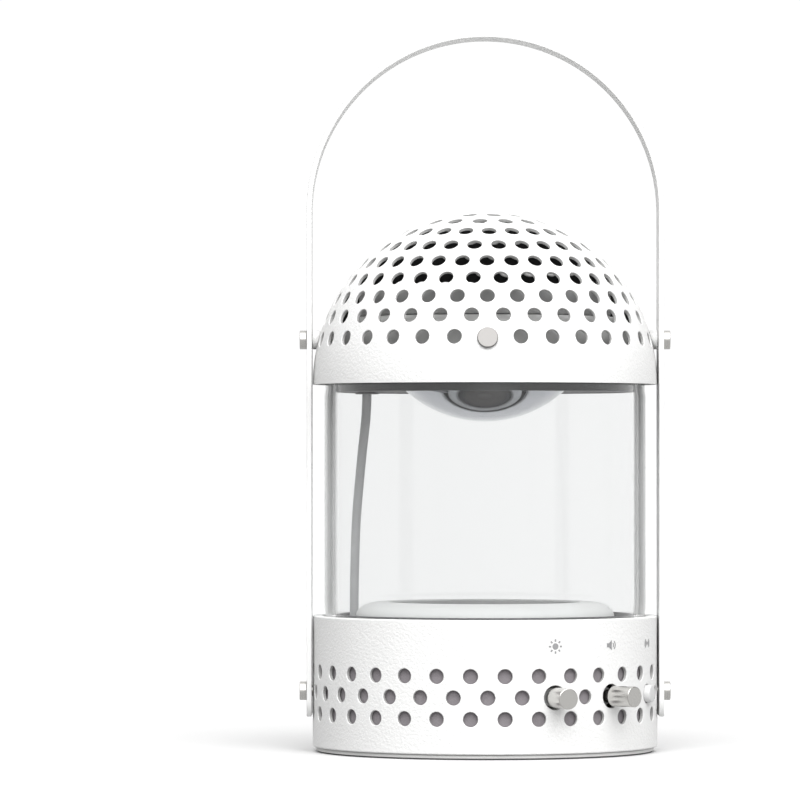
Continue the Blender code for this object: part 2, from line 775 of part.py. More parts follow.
def make_lamp_housing():
    outline = [
        (5.0, 158.5),
        (50.0, 158.5),
        (52.1, 157.6),
        (53.0, 155.5),
        (53.0, PLATE_TOP + GAP),
        (50.5, PLATE_TOP + GAP),
        (50.5, 150.0),
        (48.0, 150.0),
        (48.0, 156.0),
        (5.0, 156.0),
    ]
    housing = turned("lamp_housing", GREY_PLASTIC, outline, BODY_SIDES)

    def bosses(shape):
        for azimuth in (0, 180):
            add_rod(shape, on_dome(azimuth, STUD_LATITUDE, 56.9), 4.5, 7.8)
        for azimuth in STRAP_POSTS:
            add_rod(shape, outward(azimuth, 54.5, UPPER_SCREW_HEIGHT), 4.5, 5.6)

    def bores(shape):
        for azimuth in (0, 180):
            add_rod(shape, on_dome(azimuth, STUD_LATITUDE, 57.0), SCREW_HOLE, 16.0)
        for azimuth in STRAP_POSTS:
            add_rod(shape, outward(azimuth, 54.5, UPPER_SCREW_HEIGHT), SCREW_HOLE, 14.0)

    join(housing, mesh_piece("housing_bosses", None, bosses))
    cut(housing, mesh_piece("housing_bores", None, bores))
    board = [(0, 149.7), (50.1, 149.7), (50.1, 148.1), (0, 148.1)]
    turned("lamp_driver_board", GREEN_BOARD, board, BODY_SIDES)


def make_treble_driver():
    baffle = [
        (14.6, 163.4),
        (42.0, 168.5),
        (44.8, 168.5),
        (46.0, 167.3),
        (46.0, 158.8),
        (43.6, 158.8),
        (43.6, 166.3),
        (14.6, 161.2),
    ]
    turned("treble_baffle", GREY_PLASTIC, baffle, BODY_SIDES)
    body = [(0, 166.6), (4.5, 166.1), (8.0, 164.6), (9.5, 164.0), (14.2, 164.0), (14.2, 159.2), (0, 159.2)]
    turned("treble_driver", BLACK_PLASTIC, body)


# Dome


def make_dome_shell():
    outline = []
    for radius, latitudes in ((BODY_RADIUS, DOME_BANDS[::-1]), (DOME_INNER, DOME_BANDS)):
        wall = [on_sphere(radius, latitude) for latitude in latitudes]
        pole = [(0, DOME_CENTRE + radius)]
        rim = [(radius, DOME_CENTRE), (radius, DOME_EDGE)]
        outline += pole + wall + rim if radius == BODY_RADIUS else rim[::-1] + wall + pole
    dome = turned("dome_shell", WHITE_PAINT, outline, SHEET_SIDES, half_side_turn())
    places = []
    for latitude, count, first in DOME_ROWS:
        for i in range(count):
            azimuth = first + 360 * i / count
            if latitude != STUD_LATITUDE or not taken(azimuth, (0, 90, 180, 270)):
                places.append(on_dome(azimuth, latitude, BODY_RADIUS))

    def screw_holes(shape):
        for azimuth in (0, 180):
            add_rod(shape, on_dome(azimuth, STUD_LATITUDE, BODY_RADIUS), SCREW_HOLE, 8.0)
        for azimuth in STRAP_POSTS:
            add_rod(shape, outward(azimuth, 60.5, UPPER_SCREW_HEIGHT), SCREW_HOLE, 8.0)

    cut(dome, hole_field("dome_holes", places, 8.0), mesh_piece("dome_screw_holes", None, screw_holes))


def on_sphere(radius, latitude):
    """Profile point of a sphere about the dome's centre."""
    angle = math.radians(latitude)
    return radius * math.cos(angle), DOME_CENTRE + radius * math.sin(angle)


def make_studs():
    """Front and rear screws of the dome, square to its surface."""
    under = BODY_RADIUS + 0.15
    outline = [
        (0, 64.1),
        (3.4, 64.1),
        (3.75, 63.75),
        (3.75, under),
        (SCREW_SHANK, under),
        (SCREW_SHANK, 54.0),
        (0, 54.0),
    ]
    for name, azimuth in (("front_stud", 0), ("rear_stud", 180)):
        turned(name, SATIN_METAL, outline, INNER_SIDES, on_dome(azimuth, STUD_LATITUDE, 0))


# Handle


def make_handle_strap():
    """A flat bar bent into an arch: two straight legs and a half circle over the dome."""
    steps = 24
    outer = arc(0, STRAP_CROWN, STRAP_OUTER, STRAP_OUTER, 0, 180, steps)
    inner = arc(0, STRAP_CROWN, STRAP_INNER, STRAP_INNER, 180, 0, steps)
    outline = [(STRAP_OUTER, STRAP_END), *outer, (-STRAP_OUTER, STRAP_END)]
    outline += [(-STRAP_INNER, STRAP_END), *inner, (STRAP_INNER, STRAP_END)]
    stand = Matrix.Rotation(math.radians(90), 4, "X")
    strap = slab("handle_strap", WHITE_PAINT, outline, STRAP_WIDTH, stand)

    def holes(shape):
        for azimuth in STRAP_POSTS:
            for height in (CONTROL_HEIGHT, UPPER_SCREW_HEIGHT):
                add_rod(shape, outward(azimuth, STRAP_INNER + STRAP_THICKNESS / 2, height), SCREW_HOLE, 6.0)

    cut(strap, mesh_piece("strap_holes", None, holes))


def make_strap_screws():
    under = STRAP_OUTER + 0.15
    top = 67.8
    for side, azimuth in (("right", 90), ("left", 270)):
        for level, height, tip in (("lower", CONTROL_HEIGHT, 53.0), ("upper", UPPER_SCREW_HEIGHT, 52.0)):
            outline = [
                (0, top),
                (SCREW_HEAD - 0.3, top),
                (SCREW_HEAD, top - 0.3),
                (SCREW_HEAD, under),
                (SCREW_SHANK, under),
                (SCREW_SHANK, tip),
                (0, tip),
            ]
            name = f"{level}_strap_screw_{side}"
            turned(name, SATIN_METAL, outline, SMALL_SIDES, outward(azimuth, 0, height))


def make_strap_spacers():
    """Sleeves between the strap and the dome, their inner ends shaped to the dome."""

    def ball(shape):
        radius = (BODY_RADIUS + GAP) * MM
        centre = upright(0, 0, DOME_CENTRE)
        bmesh.ops.create_uvsphere(shape, u_segments=64, v_segments=32, radius=radius, matrix=centre)

    dome_form = mesh_piece("dome_form", None, ball)
    outer = STRAP_INNER - 0.15
    outline = [(SCREW_HOLE, outer), (SCREW_HEAD, outer), (SCREW_HEAD, 58.0), (SCREW_HOLE, 58.0)]
    for side, azimuth in (("right", 90), ("left", 270)):
        place = outward(azimuth, 0, UPPER_SCREW_HEIGHT)
        cut(turned("strap_spacer_" + side, WHITE_PAINT, outline, SMALL_SIDES, place), dome_form)


def settle_meshes():
    """Applies each part's modifiers and shades it smooth up to its real edges."""
    bpy.context.view_layer.update()
    graph = bpy.context.evaluated_depsgraph_get()
    parts = list(bpy.data.collections[PARTS].objects)
    settled = [bpy.data.meshes.new_from_object(part.evaluated_get(graph)) for part in parts]
    for part, mesh in zip(parts, settled):
        part.modifiers.clear()
        part.data = mesh
        mesh.shade_smooth()
        mesh.set_sharp_from_angle(angle=math.radians(35))


def main():
    clear_scene()
    add_collections()
    make_foot_pad()
    make_bottom_plate()
    make_bottom_screws()
    make_base_drum()
    make_base_mesh()
    make_deck_frame()
    make_gaskets()
    make_glass_tube()
    make_driver_trim()
    make_driver_basket()
    make_driver_motor()
    make_driver_cone()
    make_driver_suspension()
    make_battery()
    make_main_board()
    make_control_bracket()
    make_encoder("light_encoder", LIGHT_AZIMUTH)
    make_encoder("volume_encoder", VOLUME_AZIMUTH)
    make_switch()
    make_knob("light_knob", LIGHT_AZIMUTH)
    make_knob("volume_knob", VOLUME_AZIMUTH)
    make_button()
    make_charge_port()
    make_lead()
    make_reflector_dome()
    make_lamp_plate()
    make_lamp()
    make_lamp_housing()
    make_treble_driver()
    make_dome_shell()
    make_studs()
    make_handle_strap()
    make_strap_screws()
    make_strap_spacers()
    settle_meshes()


main()
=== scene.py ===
"""Looks of a lantern loudspeaker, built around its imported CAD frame.

Sizes are in millimetres and become metres where a mesh is made. +Z is up and the front faces -Y. An azimuth
is 0 at the front and grows towards +X. Each turned or punched piece carries its own exact normals, so that
its rounded edges and curved walls shade as on the real object.
"""

import json
import math

import bpy
import numpy as np
from mathutils import Matrix, Vector
from mathutils.geometry import delaunay_2d_cdt


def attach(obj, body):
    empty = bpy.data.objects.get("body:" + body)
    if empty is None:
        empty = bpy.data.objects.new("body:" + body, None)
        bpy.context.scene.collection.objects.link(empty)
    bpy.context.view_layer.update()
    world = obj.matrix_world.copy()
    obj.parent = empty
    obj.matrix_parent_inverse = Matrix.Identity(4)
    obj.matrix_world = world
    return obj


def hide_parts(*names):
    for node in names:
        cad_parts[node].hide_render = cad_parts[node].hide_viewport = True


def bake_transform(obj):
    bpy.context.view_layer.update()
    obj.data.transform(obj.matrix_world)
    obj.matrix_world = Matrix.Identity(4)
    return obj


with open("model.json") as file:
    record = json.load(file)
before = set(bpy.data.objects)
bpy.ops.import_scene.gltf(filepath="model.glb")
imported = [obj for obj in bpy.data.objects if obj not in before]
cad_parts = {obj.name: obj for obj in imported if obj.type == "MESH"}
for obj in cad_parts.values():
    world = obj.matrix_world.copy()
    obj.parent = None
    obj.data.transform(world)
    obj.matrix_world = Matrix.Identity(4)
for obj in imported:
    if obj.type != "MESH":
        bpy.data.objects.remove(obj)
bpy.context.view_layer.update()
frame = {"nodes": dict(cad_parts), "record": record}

MM = 0.001
LANTERN = "lantern"

BODY_RADIUS = 63.0
BODY_SIDES = 160
FINE_SIDES = 48

DRUM_WALL = 1.6
DRUM_BOTTOM = 1.9
DRUM_TOP = 49.6
FLANGE_INNER = 59.6
LINER_OUTER = 61.1
LINER_WALL = 0.6
LINER_BOTTOM = 5.5
LINER_TOP = 47.0

DOME_CENTRE = 134.3
DOME_EDGE = 134.0
DOME_WALL = 1.5
DOME_INNER = BODY_RADIUS - DOME_WALL
DOME_BORDER = 3.0  # latitude where the punched part of the dome starts

HOLE_RADIUS = 2.68
HOLE_SIDES = 28
FULL_ROW = 32
PITCH = 360 / FULL_ROW
DRUM_ROWS = ((14.4, 0.5), (22.0, 0.0), (29.6, 0.5))  # height, shift in pitches
CONTROL_HEIGHT = 22.0

# Latitude, holes in the row, azimuth of the first hole.
DOME_ROWS = (
    (14.77, FULL_ROW, 0.0),
    (22.3, FULL_ROW, PITCH / 2),
    (29.25, FULL_ROW, 0.0),
    (36.45, FULL_ROW, PITCH / 2),
    (43.93, FULL_ROW, 0.0),
    (52.0, 28, 6.43),
    (60.6, 23, 1.9),
    (69.0, 15, -5.5),
    (76.9, 10, 12.0),
    (84.6, 4, 30.0),
)
STUD_LATITUDE = 14.77

LIGHT_AZIMUTH = 22.5
VOLUME_AZIMUTH = 45.0
BUTTON_AZIMUTH = 67.5
PORT_AZIMUTH = 180.0
STRAP_AZIMUTHS = (90.0, 270.0)
KNOB_RADIUS = 3.7
KNOB_REACH = 11.3
KNOB_HOLE = 4.3
BUTTON_RADIUS = 3.2
BUTTON_HOLE = 3.5
SCREW_HOLE = 2.35
PORT_HALF_WIDTH = 4.9
PORT_HALF_HEIGHT = 2.05

STRAP_INNER = 63.25
STRAP_THICKNESS = 1.85
STRAP_OUTER = STRAP_INNER + STRAP_THICKNESS
STRAP_WIDTH = 20.0
STRAP_CROWN = 197.2
STRAP_END = 13.0
UPPER_SCREW_HEIGHT = 150.36
SCREW_HEAD = 3.45
SCREW_TOP = 67.8

LEAD_RADIUS = 1.75
LEAD_POINTS = (
    (-43.5, 6.0, 142.2),
    (-43.5, 6.0, 133.0),
    (-43.9, 6.2, 122.0),
    (-45.6, 7.4, 107.0),
    (-47.7, 9.1, 85.0),
    (-48.5, 9.9, 65.0),
    (-48.7, 10.0, 50.0),
    (-48.7, 10.0, 43.0),
    (-47.3, 10.0, 38.5),
    (-45.2, 10.0, 34.5),
)

GLASS_OUTER = 58.9
GLASS_INNER = 55.1

REFLECTOR_RADIUS = 43.5
REFLECTOR_BOTTOM = 120.5
REFLECTOR_SIDE = 29.4
REFLECTOR_WALL = 1.3
REFLECTOR_TOP = 135.8

CAMERA_PLACE = (-0.0311, -1.958, 0.1070)
CAMERA_PITCH = 90.625
CAMERA_LENS = 240.68

# The studio: how bright it is behind, at the horizon, and below it on the left and on the right. Then the
# azimuth, elevation, strength and spread of its two soft lights. A spread of 1 is a point.
BACKDROP = 1.03
LOW_LEFT = 0.52
LOW_RIGHT = 0.85
BOUNCE_LEFT = 0.55
BOUNCE_RIGHT = 0.75
FRONT_LIGHT = (5, 45, 4.1, 0.72)
TOP_LIGHT = (10, 72, 1.8, 0.35)
FLOOR_REACH = 60.0
FLOOR_COLOUR = (0.63, 0.63, 0.63)

SLOT_OF = {part["node"]: part["material_slot"] for part in frame["record"]["subparts"]}


# Places and outlines


def direction(azimuth, latitude=0.0):
    """Unit vectors at these azimuths and latitudes, in degrees."""
    turn, rise = np.radians(azimuth), np.radians(latitude)
    flat = np.cos(rise)
    return np.stack([np.sin(turn) * flat, -np.cos(turn) * flat, np.sin(rise) + 0 * turn], axis=-1)


def outward(azimuth, distance, height, tilt=0.0):
    """Placement whose local Z points out of the body, in metres."""
    turn = Matrix.Rotation(math.radians(azimuth), 4, "Z")
    move = Matrix.Translation(Vector((0, -distance, height)) * MM)
    aim = Matrix.Rotation(math.radians(90 - tilt), 4, "X")
    return turn @ move @ aim


def upright(x, y):
    return Matrix.Translation(Vector((x, y, 0)) * MM)


def on_dome(azimuth, latitude, distance):
    flat = distance * math.cos(math.radians(latitude))
    rise = distance * math.sin(math.radians(latitude))
    return outward(azimuth, flat, DOME_CENTRE + rise, latitude)


def arc(centre_r, centre_z, radius_r, radius_z, start, end, steps):
    """Points on an elliptical arc, its angles in degrees from +r towards +z."""
    angles = np.radians(np.linspace(start, end, steps + 1))
    return [(centre_r + radius_r * math.cos(a), centre_z + radius_z * math.sin(a)) for a in angles]


def circle(sides, shift=0.0):
    """Angles round a full turn, in radians. The shift is a share of one side."""
    return (np.arange(sides) + shift) * 2 * math.pi / sides


def unit(vectors):
    return vectors / np.linalg.norm(vectors, axis=-1, keepdims=True)


def rounded(outline, reach=0.3, steps=3, closed=False):
    """The outline with each real corner rounded, as rows of point and normal. The solid is on the right."""
    points = [np.array(point, float) for point in outline]
    count = len(points)
    rows = []
    for i, point in enumerate(points):
        before = points[i - 1] if closed or i else None
        after = points[(i + 1) % count] if closed or i < count - 1 else None
        if before is None or after is None:
            along = unit(after - point) if before is None else unit(point - before)
            rows.append((*point, -along[1], along[0]))
            continue
        into, out = unit(point - before), unit(after - point)
        turn = math.degrees(math.acos(max(-1.0, min(1.0, float(into @ out)))))
        if turn < 25:
            along = unit(into + out)
            rows.append((*point, -along[1], along[0]))
            continue
        room = min(reach, 0.45 * np.linalg.norm(point - before), 0.45 * np.linalg.norm(after - point))
        start, end = point - into * room, point + out * room
        for k in range(steps + 1):
            t = k / steps
            place = start * (1 - t) ** 2 + point * 2 * t * (1 - t) + end * t**2
            along = unit(into * (1 - t) + out * t)
            rows.append((*place, -along[1], along[0]))
    return np.array(rows)


def clockwise(outline):
    """The outline in the order that puts the solid on the right of each step."""
    points = np.array(outline)
    following = np.roll(points, -1, axis=0)
    area = np.sum(points[:, 0] * following[:, 1] - following[:, 0] * points[:, 1])
    return outline[::-1] if area > 0 else list(outline)


# Meshes


def build(name, points, faces, normals, materials, face_looks=None, place=None):
    """An object from points in millimetres, each with its normal. Faces are turned to agree with them."""
    points, normals = np.array(points, float), np.array(normals, float)
    sides = {3: [], 4: []}
    for number, face in enumerate(faces):
        sides[len(face)].append((number, face))
    ordered = [None] * len(faces)
    for group in sides.values():
        if not group:
            continue
        numbers = [number for number, _ in group]
        corners = np.array([face for _, face in group])
        first, second, third = (points[corners[:, k]] for k in range(3))
        last = points[corners[:, -1]]
        facing = np.cross(second - first, third - first) + np.cross(third - first, last - first)
        wrong = np.einsum("ij,ij->i", facing, normals[corners].sum(axis=1)) < 0
        corners[wrong] = corners[wrong][:, ::-1]
        for number, face in zip(numbers, corners.tolist()):
            ordered[number] = face
    mesh = bpy.data.meshes.new(name)
    mesh.from_pydata((points * MM).tolist(), [], ordered)
    for material in materials:
        mesh.materials.append(material)
    if face_looks is not None:
        mesh.polygons.foreach_set("material_index", np.array(face_looks, np.int32))
    mesh.shade_smooth()
    mesh.normals_split_custom_set_from_vertices(unit(normals).tolist())
    piece = bpy.data.objects.new(name, mesh)
    piece.matrix_world = place or Matrix()
    bpy.context.scene.collection.objects.link(piece)
    return piece


def stand_for(piece, *nodes, body=LANTERN):
    """The piece rides on its body and stands for these CAD nodes, which it hides."""
    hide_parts(*nodes)
    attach(piece, body)
    return piece


def quads(first, second, closed=True):
    """Faces between two rows of point numbers."""
    count = len(first)
    last = count if closed else count - 1
    return [(first[i], first[(i + 1) % count], second[(i + 1) % count], second[i]) for i in range(last)]


def skin(grid, looped=False, closed=True):
    """Faces of a grid of point numbers. Looped, its last row joins its first. Closed, so does each row."""
    rows = grid.tolist()
    if looped:
        rows.append(rows[0])
    return [face for first, second in zip(rows, rows[1:]) for face in quads(first, second, closed)]


def turned_parts(outline, sides, reach):
    """Points, faces and normals of a solid turned about Z. An outline off the axis closes into a ring."""
    outline = clockwise(outline)
    hollow = min(radius for radius, _ in outline) > 0
    if not hollow:
        while outline[0][0] > 0 or outline[-1][0] > 0:
            outline = outline[1:] + outline[:1]
    rows = rounded(outline, reach, closed=hollow)
    angles = circle(sides)
    across = np.stack([np.cos(angles), np.sin(angles)], axis=-1)
    points, normals, rings, faces = [], [], [], []
    for radius, height, out, up in rows:
        start = len(points)
        if radius < 1e-6:
            points.append((0, 0, height))
            normals.append((0, 0, math.copysign(1, up)))
            rings.append([start] * sides)
            continue
        for x, y in across:
            points.append((radius * x, radius * y, height))
            normals.append((out * x, out * y, up))
        rings.append(list(range(start, start + sides)))
    pairs = list(zip(rings, rings[1:])) + ([(rings[-1], rings[0])] if hollow else [])
    for first, second in pairs:
        for face in quads(first, second):
            corners = list(dict.fromkeys(face))
            if len(corners) > 2:
                faces.append(tuple(corners))
    return points, faces, normals


def turned(name, material, outline, sides=BODY_SIDES, reach=0.3, place=None):
    points, faces, normals = turned_parts(outline, sides, reach)
    return build(name, points, faces, normals, [material], place=place)


def turned_for(cad_node, name, look, outline, sides=BODY_SIDES, reach=0.3, place=None, body=LANTERN):
    """A turned piece that stands for one CAD node."""
    stand_for(turned(name, looks[look], outline, sides, reach, place), cad_node, body=body)


def merged(name, material, parts):
    """One object from several sets of points, faces and normals, each with its own placement."""
    points, faces, normals = [], [], []
    for (own_points, own_faces, own_normals), place in parts:
        start = len(points)
        turn = place.to_3x3()
        move = place.translation / MM
        points += [tuple(turn @ Vector(point) + move) for point in own_points]
        normals += [tuple(turn @ Vector(normal)) for normal in own_normals]
        faces += [tuple(corner + start for corner in face) for face in own_faces]
    return build(name, points, faces, normals, [material])


# Punched sheets. Each surface turns flat points into places in space, and back again for the rings of a hole.


def azimuths_of(points):
    return np.degrees(np.arctan2(points[:, 0], -points[:, 1]))


class Wall:
    """An upright cylinder, laid out flat as a ring, so that it has no seam."""

    OFFSET = 30.0

    def __init__(self, radius, thickness):
        self.radius, self.thickness = radius, thickness

    def flat(self, azimuth, height):
        return direction(azimuth)[..., :2] * (np.asarray(height) + self.OFFSET)[..., None]

    def read(self, flat):
        return azimuths_of(flat), np.linalg.norm(flat, axis=1) - self.OFFSET

    def place(self, flat, depth):
        azimuth, height = self.read(flat)
        points = direction(azimuth) * (self.radius - depth)
        points[:, 2] = height
        return points

    def normal(self, flat):
        return direction(self.read(flat)[0])

    def ring(self, hole, grow):
        across, up = hole.outline(grow)
        return self.flat(hole.azimuth + np.degrees(across / self.radius), hole.height + up)


class Ball:
    """A dome, laid out flat round its pole."""

    def __init__(self, radius, thickness, centre):
        self.radius, self.thickness, self.centre = radius, thickness, centre

    def flat(self, azimuth, latitude):
        return direction(azimuth)[..., :2] * (90 - np.asarray(latitude))[..., None]

    def read(self, flat):
        return azimuths_of(flat), 90 - np.linalg.norm(flat, axis=1)

    def place(self, flat, depth):
        points = direction(*self.read(flat)) * (self.radius - depth)
        points[:, 2] += self.centre
        return points

    def normal(self, flat):
        return direction(*self.read(flat))

    def ring(self, hole, grow):
        across, up = hole.outline(grow)
        middle = direction(hole.azimuth, hole.height)
        right = direction(hole.azimuth + 90)
        above = np.cross(right, middle)
        spread = middle * self.radius + across[:, None] * right + up[:, None] * above
        aim = unit(spread)
        return self.flat(azimuths_of(aim), np.degrees(np.arcsin(aim[:, 2])))


class Band:
    """The strap: two straight legs and a half circle. Flat points are distances along it and across."""

    LEG = STRAP_CROWN - STRAP_END
    BEND = math.pi * STRAP_OUTER

    def __init__(self):
        self.thickness = STRAP_THICKNESS

    def frame_at(self, along):
        """Place on the outer face and outward direction, in the XZ plane, starting up the right leg."""
        along = np.asarray(along, float)
        turn = np.clip((along - self.LEG) / STRAP_OUTER, 0, math.pi)
        out = np.stack([np.cos(turn), 0 * turn, np.sin(turn)], axis=-1)
        place = out * STRAP_OUTER
        down = np.clip(along - self.LEG - self.BEND, 0, None)
        up = np.clip(along, None, self.LEG) - self.LEG
        place[..., 2] += STRAP_CROWN + up - down
        return place, out

    def place(self, flat, depth):
        place, out = self.frame_at(flat[:, 0])
        points = place - out * depth
        points[:, 1] = flat[:, 1]
        return points

    def normal(self, flat):
        return self.frame_at(flat[:, 0])[1]

    def ring(self, hole, grow):
        across, up = hole.outline(grow)
        return np.stack([hole.azimuth + across, hole.height + up], axis=-1)


class Hole:
    """A round hole, or a slot with round ends when it has a stretch, placed in the surface's own terms."""

    def __init__(self, azimuth, height, radius, stretch=0.0, sides=HOLE_SIDES):
        self.azimuth, self.height, self.radius = azimuth, height, radius
        self.stretch, self.sides = stretch, sides

    def outline(self, grow):
        angles = circle(self.sides, 0.5)
        across = (self.radius + grow) * np.cos(angles)
        return across + np.sign(np.round(across, 6)) * self.stretch, (self.radius + grow) * np.sin(angles)


def triangles(points, loops, open_loops):
    """Delaunay triangles of the flat points that keep the loops' edges and leave the open loops empty."""
    edges = [(a, b) for loop in loops for a, b in zip(loop, np.roll(loop, -1))]
    made = delaunay_2d_cdt([Vector(point) for point in points], edges, [], 0, 1e-7)
    source = [origin[0] for origin in made[3]]
    faces = np.array([[source[corner] for corner in face] for face in made[2]])
    owner = np.full(len(points), -1)
    for number, loop in enumerate(open_loops):
        owner[loop] = number
    owners = owner[faces]
    inside = (owners[:, 0] >= 0) & (owners[:, 0] == owners[:, 1]) & (owners[:, 1] == owners[:, 2])
    return faces[~inside]


def punched(name, surface, holes, borders, filling, materials, edge=0.3):
    """A sheet with rounded holes, its materials for outside, inside and hole walls.

    A border is its flat loop, whether it is open, and the rows round its rim.
    """
    flat, loops, open_loops = [], [], []

    def add(ring):
        loop = np.arange(len(ring)) + sum(len(part) for part in flat)
        flat.append(ring)
        return loop

    border_loops = []
    for ring, is_open, _ in borders:
        loop = add(ring)
        border_loops.append(loop)
        loops.append(loop)
        if is_open:
            open_loops.append(loop)
    hole_loops = [add(surface.ring(hole, edge)) for hole in holes]
    loops += hole_loops
    open_loops += hole_loops
    add(filling)
    flat = np.concatenate(flat)
    sheet = triangles(flat, loops, open_loops)

    thickness = surface.thickness
    count = len(flat)
    out = surface.normal(flat)
    points = [surface.place(flat, 0), surface.place(flat, thickness)]
    normals = [out, -out]
    faces = [tuple(face) for face in sheet.tolist()] + [tuple(face) for face in (sheet + count).tolist()]
    looks = [0] * len(sheet) + [1] * len(sheet)
    total = 2 * count

    def add_row(place, normal):
        nonlocal total
        points.append(place)
        normals.append(normal)
        total += len(place)
        return np.arange(total - len(place), total)

    def chain(rows, row_looks):
        """Joins rows of point numbers with quads."""
        for first, second, look in zip(rows, rows[1:], row_looks):
            made = quads(first.tolist(), second.tolist())
            faces.extend(made)
            looks.extend([look] * len(made))

    bevel = edge * (1 - math.sqrt(0.5))
    edge_step = 0.3
    for hole, loop in zip(holes, hole_loops):
        rows = [loop]
        wall = unit(surface.place(surface.ring(hole, -edge_step), 0) - points[0][loop])
        for grow, depth, lean in ((bevel, bevel, 1), (0, edge, 0), (0, thickness - edge, 0)):
            ring = surface.ring(hole, grow)
            rows.append(add_row(surface.place(ring, depth), unit(wall + surface.normal(ring) * lean)))
        # The walls of each hole take the third material. On the drum and dome that is the grey of painted
        # shade.
        chain(rows + [loop + count], (0, 0, 2, 2))
    for loop, (_, _, rim) in zip(border_loops, borders):
        rows = [loop] + [add_row(place, normal) for place, normal in rim]
        chain(rows + [loop + count], [0] * len(rows))
    return build(name, np.concatenate(points), faces, np.concatenate(normals), materials, looks)


def rim_rows(azimuths, outline, reach):
    """Rings of points and normals that follow an outline from the outer face to the inner one."""
    rising = outline[1][1] > outline[0][1]
    rows = rounded(outline[::-1], reach)[::-1] if rising else rounded(outline, reach)
    rows = rows[1:-1]
    spokes = direction(azimuths)
    rings = []
    for radius, height, out, up in rows:
        place = spokes * radius
        place[:, 2] = height
        normal = spokes * out
        normal[:, 2] = up
        rings.append((place, normal))
    return rings


def filling_points(surface, azimuths, levels, holes, clearance):
    """Grid points of a closed surface that stay clear of its holes."""
    grid_azimuth, grid_level = np.meshgrid(azimuths, levels)
    flat = surface.flat(grid_azimuth.ravel(), grid_level.ravel())
    space = surface.place(flat, 0)
    free = np.ones(len(flat), bool)
    for hole in holes:
        middle = surface.place(surface.flat(np.array([hole.azimuth]), np.array([hole.height])), 0)
        free &= np.linalg.norm(space - middle, axis=1) > hole.radius + hole.stretch + clearance
    return flat[free]


def taken(azimuth, others):
    return any(abs((azimuth - other + 180) % 360 - 180) < 1 for other in others)


# Materials


def new_material(name, colour, roughness, metallic=0.0, **sockets):
    material = bpy.data.materials.new(name)
    material.use_nodes = True
    shader = material.node_tree.nodes["Principled BSDF"]
    sockets.update(Base_Color=(*colour, 1), Roughness=roughness, Metallic=metallic)
    for socket, value in sockets.items():
        shader.inputs[socket.replace("_", " ")].default_value = value
    return material


def node(material, kind, inputs=None, **settings):
    """A node of this kind. Each input is a value or another node's output."""
    made = material.node_tree.nodes.new("ShaderNode" + kind)
    for key, value in settings.items():
        setattr(made, key, value)
    for key, value in (inputs or {}).items():
        if isinstance(value, bpy.types.NodeSocket):
            material.node_tree.links.new(value, made.inputs[key])
        else:
            made.inputs[key].default_value = value
    return made


def drive(material, socket, value):
    shader = material.node_tree.nodes["Principled BSDF"]
    material.node_tree.links.new(value, shader.inputs[socket])


def object_point(material):
    return node(material, "TexCoord").outputs["Object"]


def noise(material, point, size, detail=2.0, roughness=0.5):
    """Noise whose features are about this many millimetres across."""
    inputs = {"Vector": point, "Scale": 1 / (size * MM), "Detail": detail, "Roughness": roughness}
    return node(material, "TexNoise", inputs).outputs["Fac"]


def between(material, factor, low, high):
    """A number that goes from low to high as the factor goes from 0.3 to 0.7."""
    inputs = {"Value": factor, "From Min": 0.3, "From Max": 0.7, "To Min": low, "To Max": high}
    return node(material, "MapRange", inputs).outputs["Result"]


def mixed(material, factor, first, second):
    """A colour between two. The numbers are the places of the node's colour sockets."""
    inputs = {0: factor, 6: (*first, 1), 7: (*second, 1)}
    return node(material, "Mix", inputs, data_type="RGBA").outputs[2]


def compute(material, operation, first, second=0.0):
    return node(material, "Math", {0: first, 1: second}, operation=operation).outputs[0]


def shade(colour, share):
    return tuple(min(1.0, channel * share) for channel in colour)


def add_bump(material, height, depth):
    """Bump of this depth in millimetres."""
    inputs = {"Height": height, "Distance": depth * MM, "Strength": 1.0}
    drive(material, "Normal", node(material, "Bump", inputs).outputs["Normal"])


def vary_tone(material, factor, colour, tone):
    low, high = shade(colour, 1 - tone), shade(colour, 1 + tone)
    drive(material, "Base Color", mixed(material, factor, low, high))


def grained(name, colour, roughness, grain, depth, spread=0.06, tone=0.05, metallic=0.0, **sockets):
    """A surface with a fine grain and a slow change of tone. Without a spread its gloss is even."""
    material = new_material(name, colour, roughness, metallic, **sockets)
    point = object_point(material)
    fine = noise(material, point, grain, 3.0, 0.6)
    slow = noise(material, point, grain * 40, 2.0)
    vary_tone(material, between(material, slow, 0.0, 1.0), colour, tone)
    if spread:
        drive(material, "Roughness", between(material, fine, roughness - spread, roughness + spread))
    if depth:
        add_bump(material, fine, depth)
    return material


def turned_metal(name, colour, roughness, groove, depth):
    """Machined metal: fine rings round the piece's own Z axis."""
    material = new_material(name, colour, roughness, 1.0)
    point = object_point(material)
    across = node(material, "VectorMath", {0: point, 1: (1, 1, 0)}, operation="MULTIPLY").outputs[0]
    radius = node(material, "VectorMath", {0: across}, operation="LENGTH").outputs["Value"]
    height = node(material, "SeparateXYZ", {0: point}).outputs["Z"]
    travel = compute(material, "ADD", radius, height)
    inputs = {"W": travel, "Scale": 1 / (groove * MM), "Detail": 3.0}
    rings = node(material, "TexNoise", inputs, noise_dimensions="1D").outputs["Fac"]
    vary_tone(material, rings, colour, 0.04)
    drive(material, "Roughness", between(material, rings, roughness - 0.05, roughness + 0.05))
    add_bump(material, rings, depth)
    return material


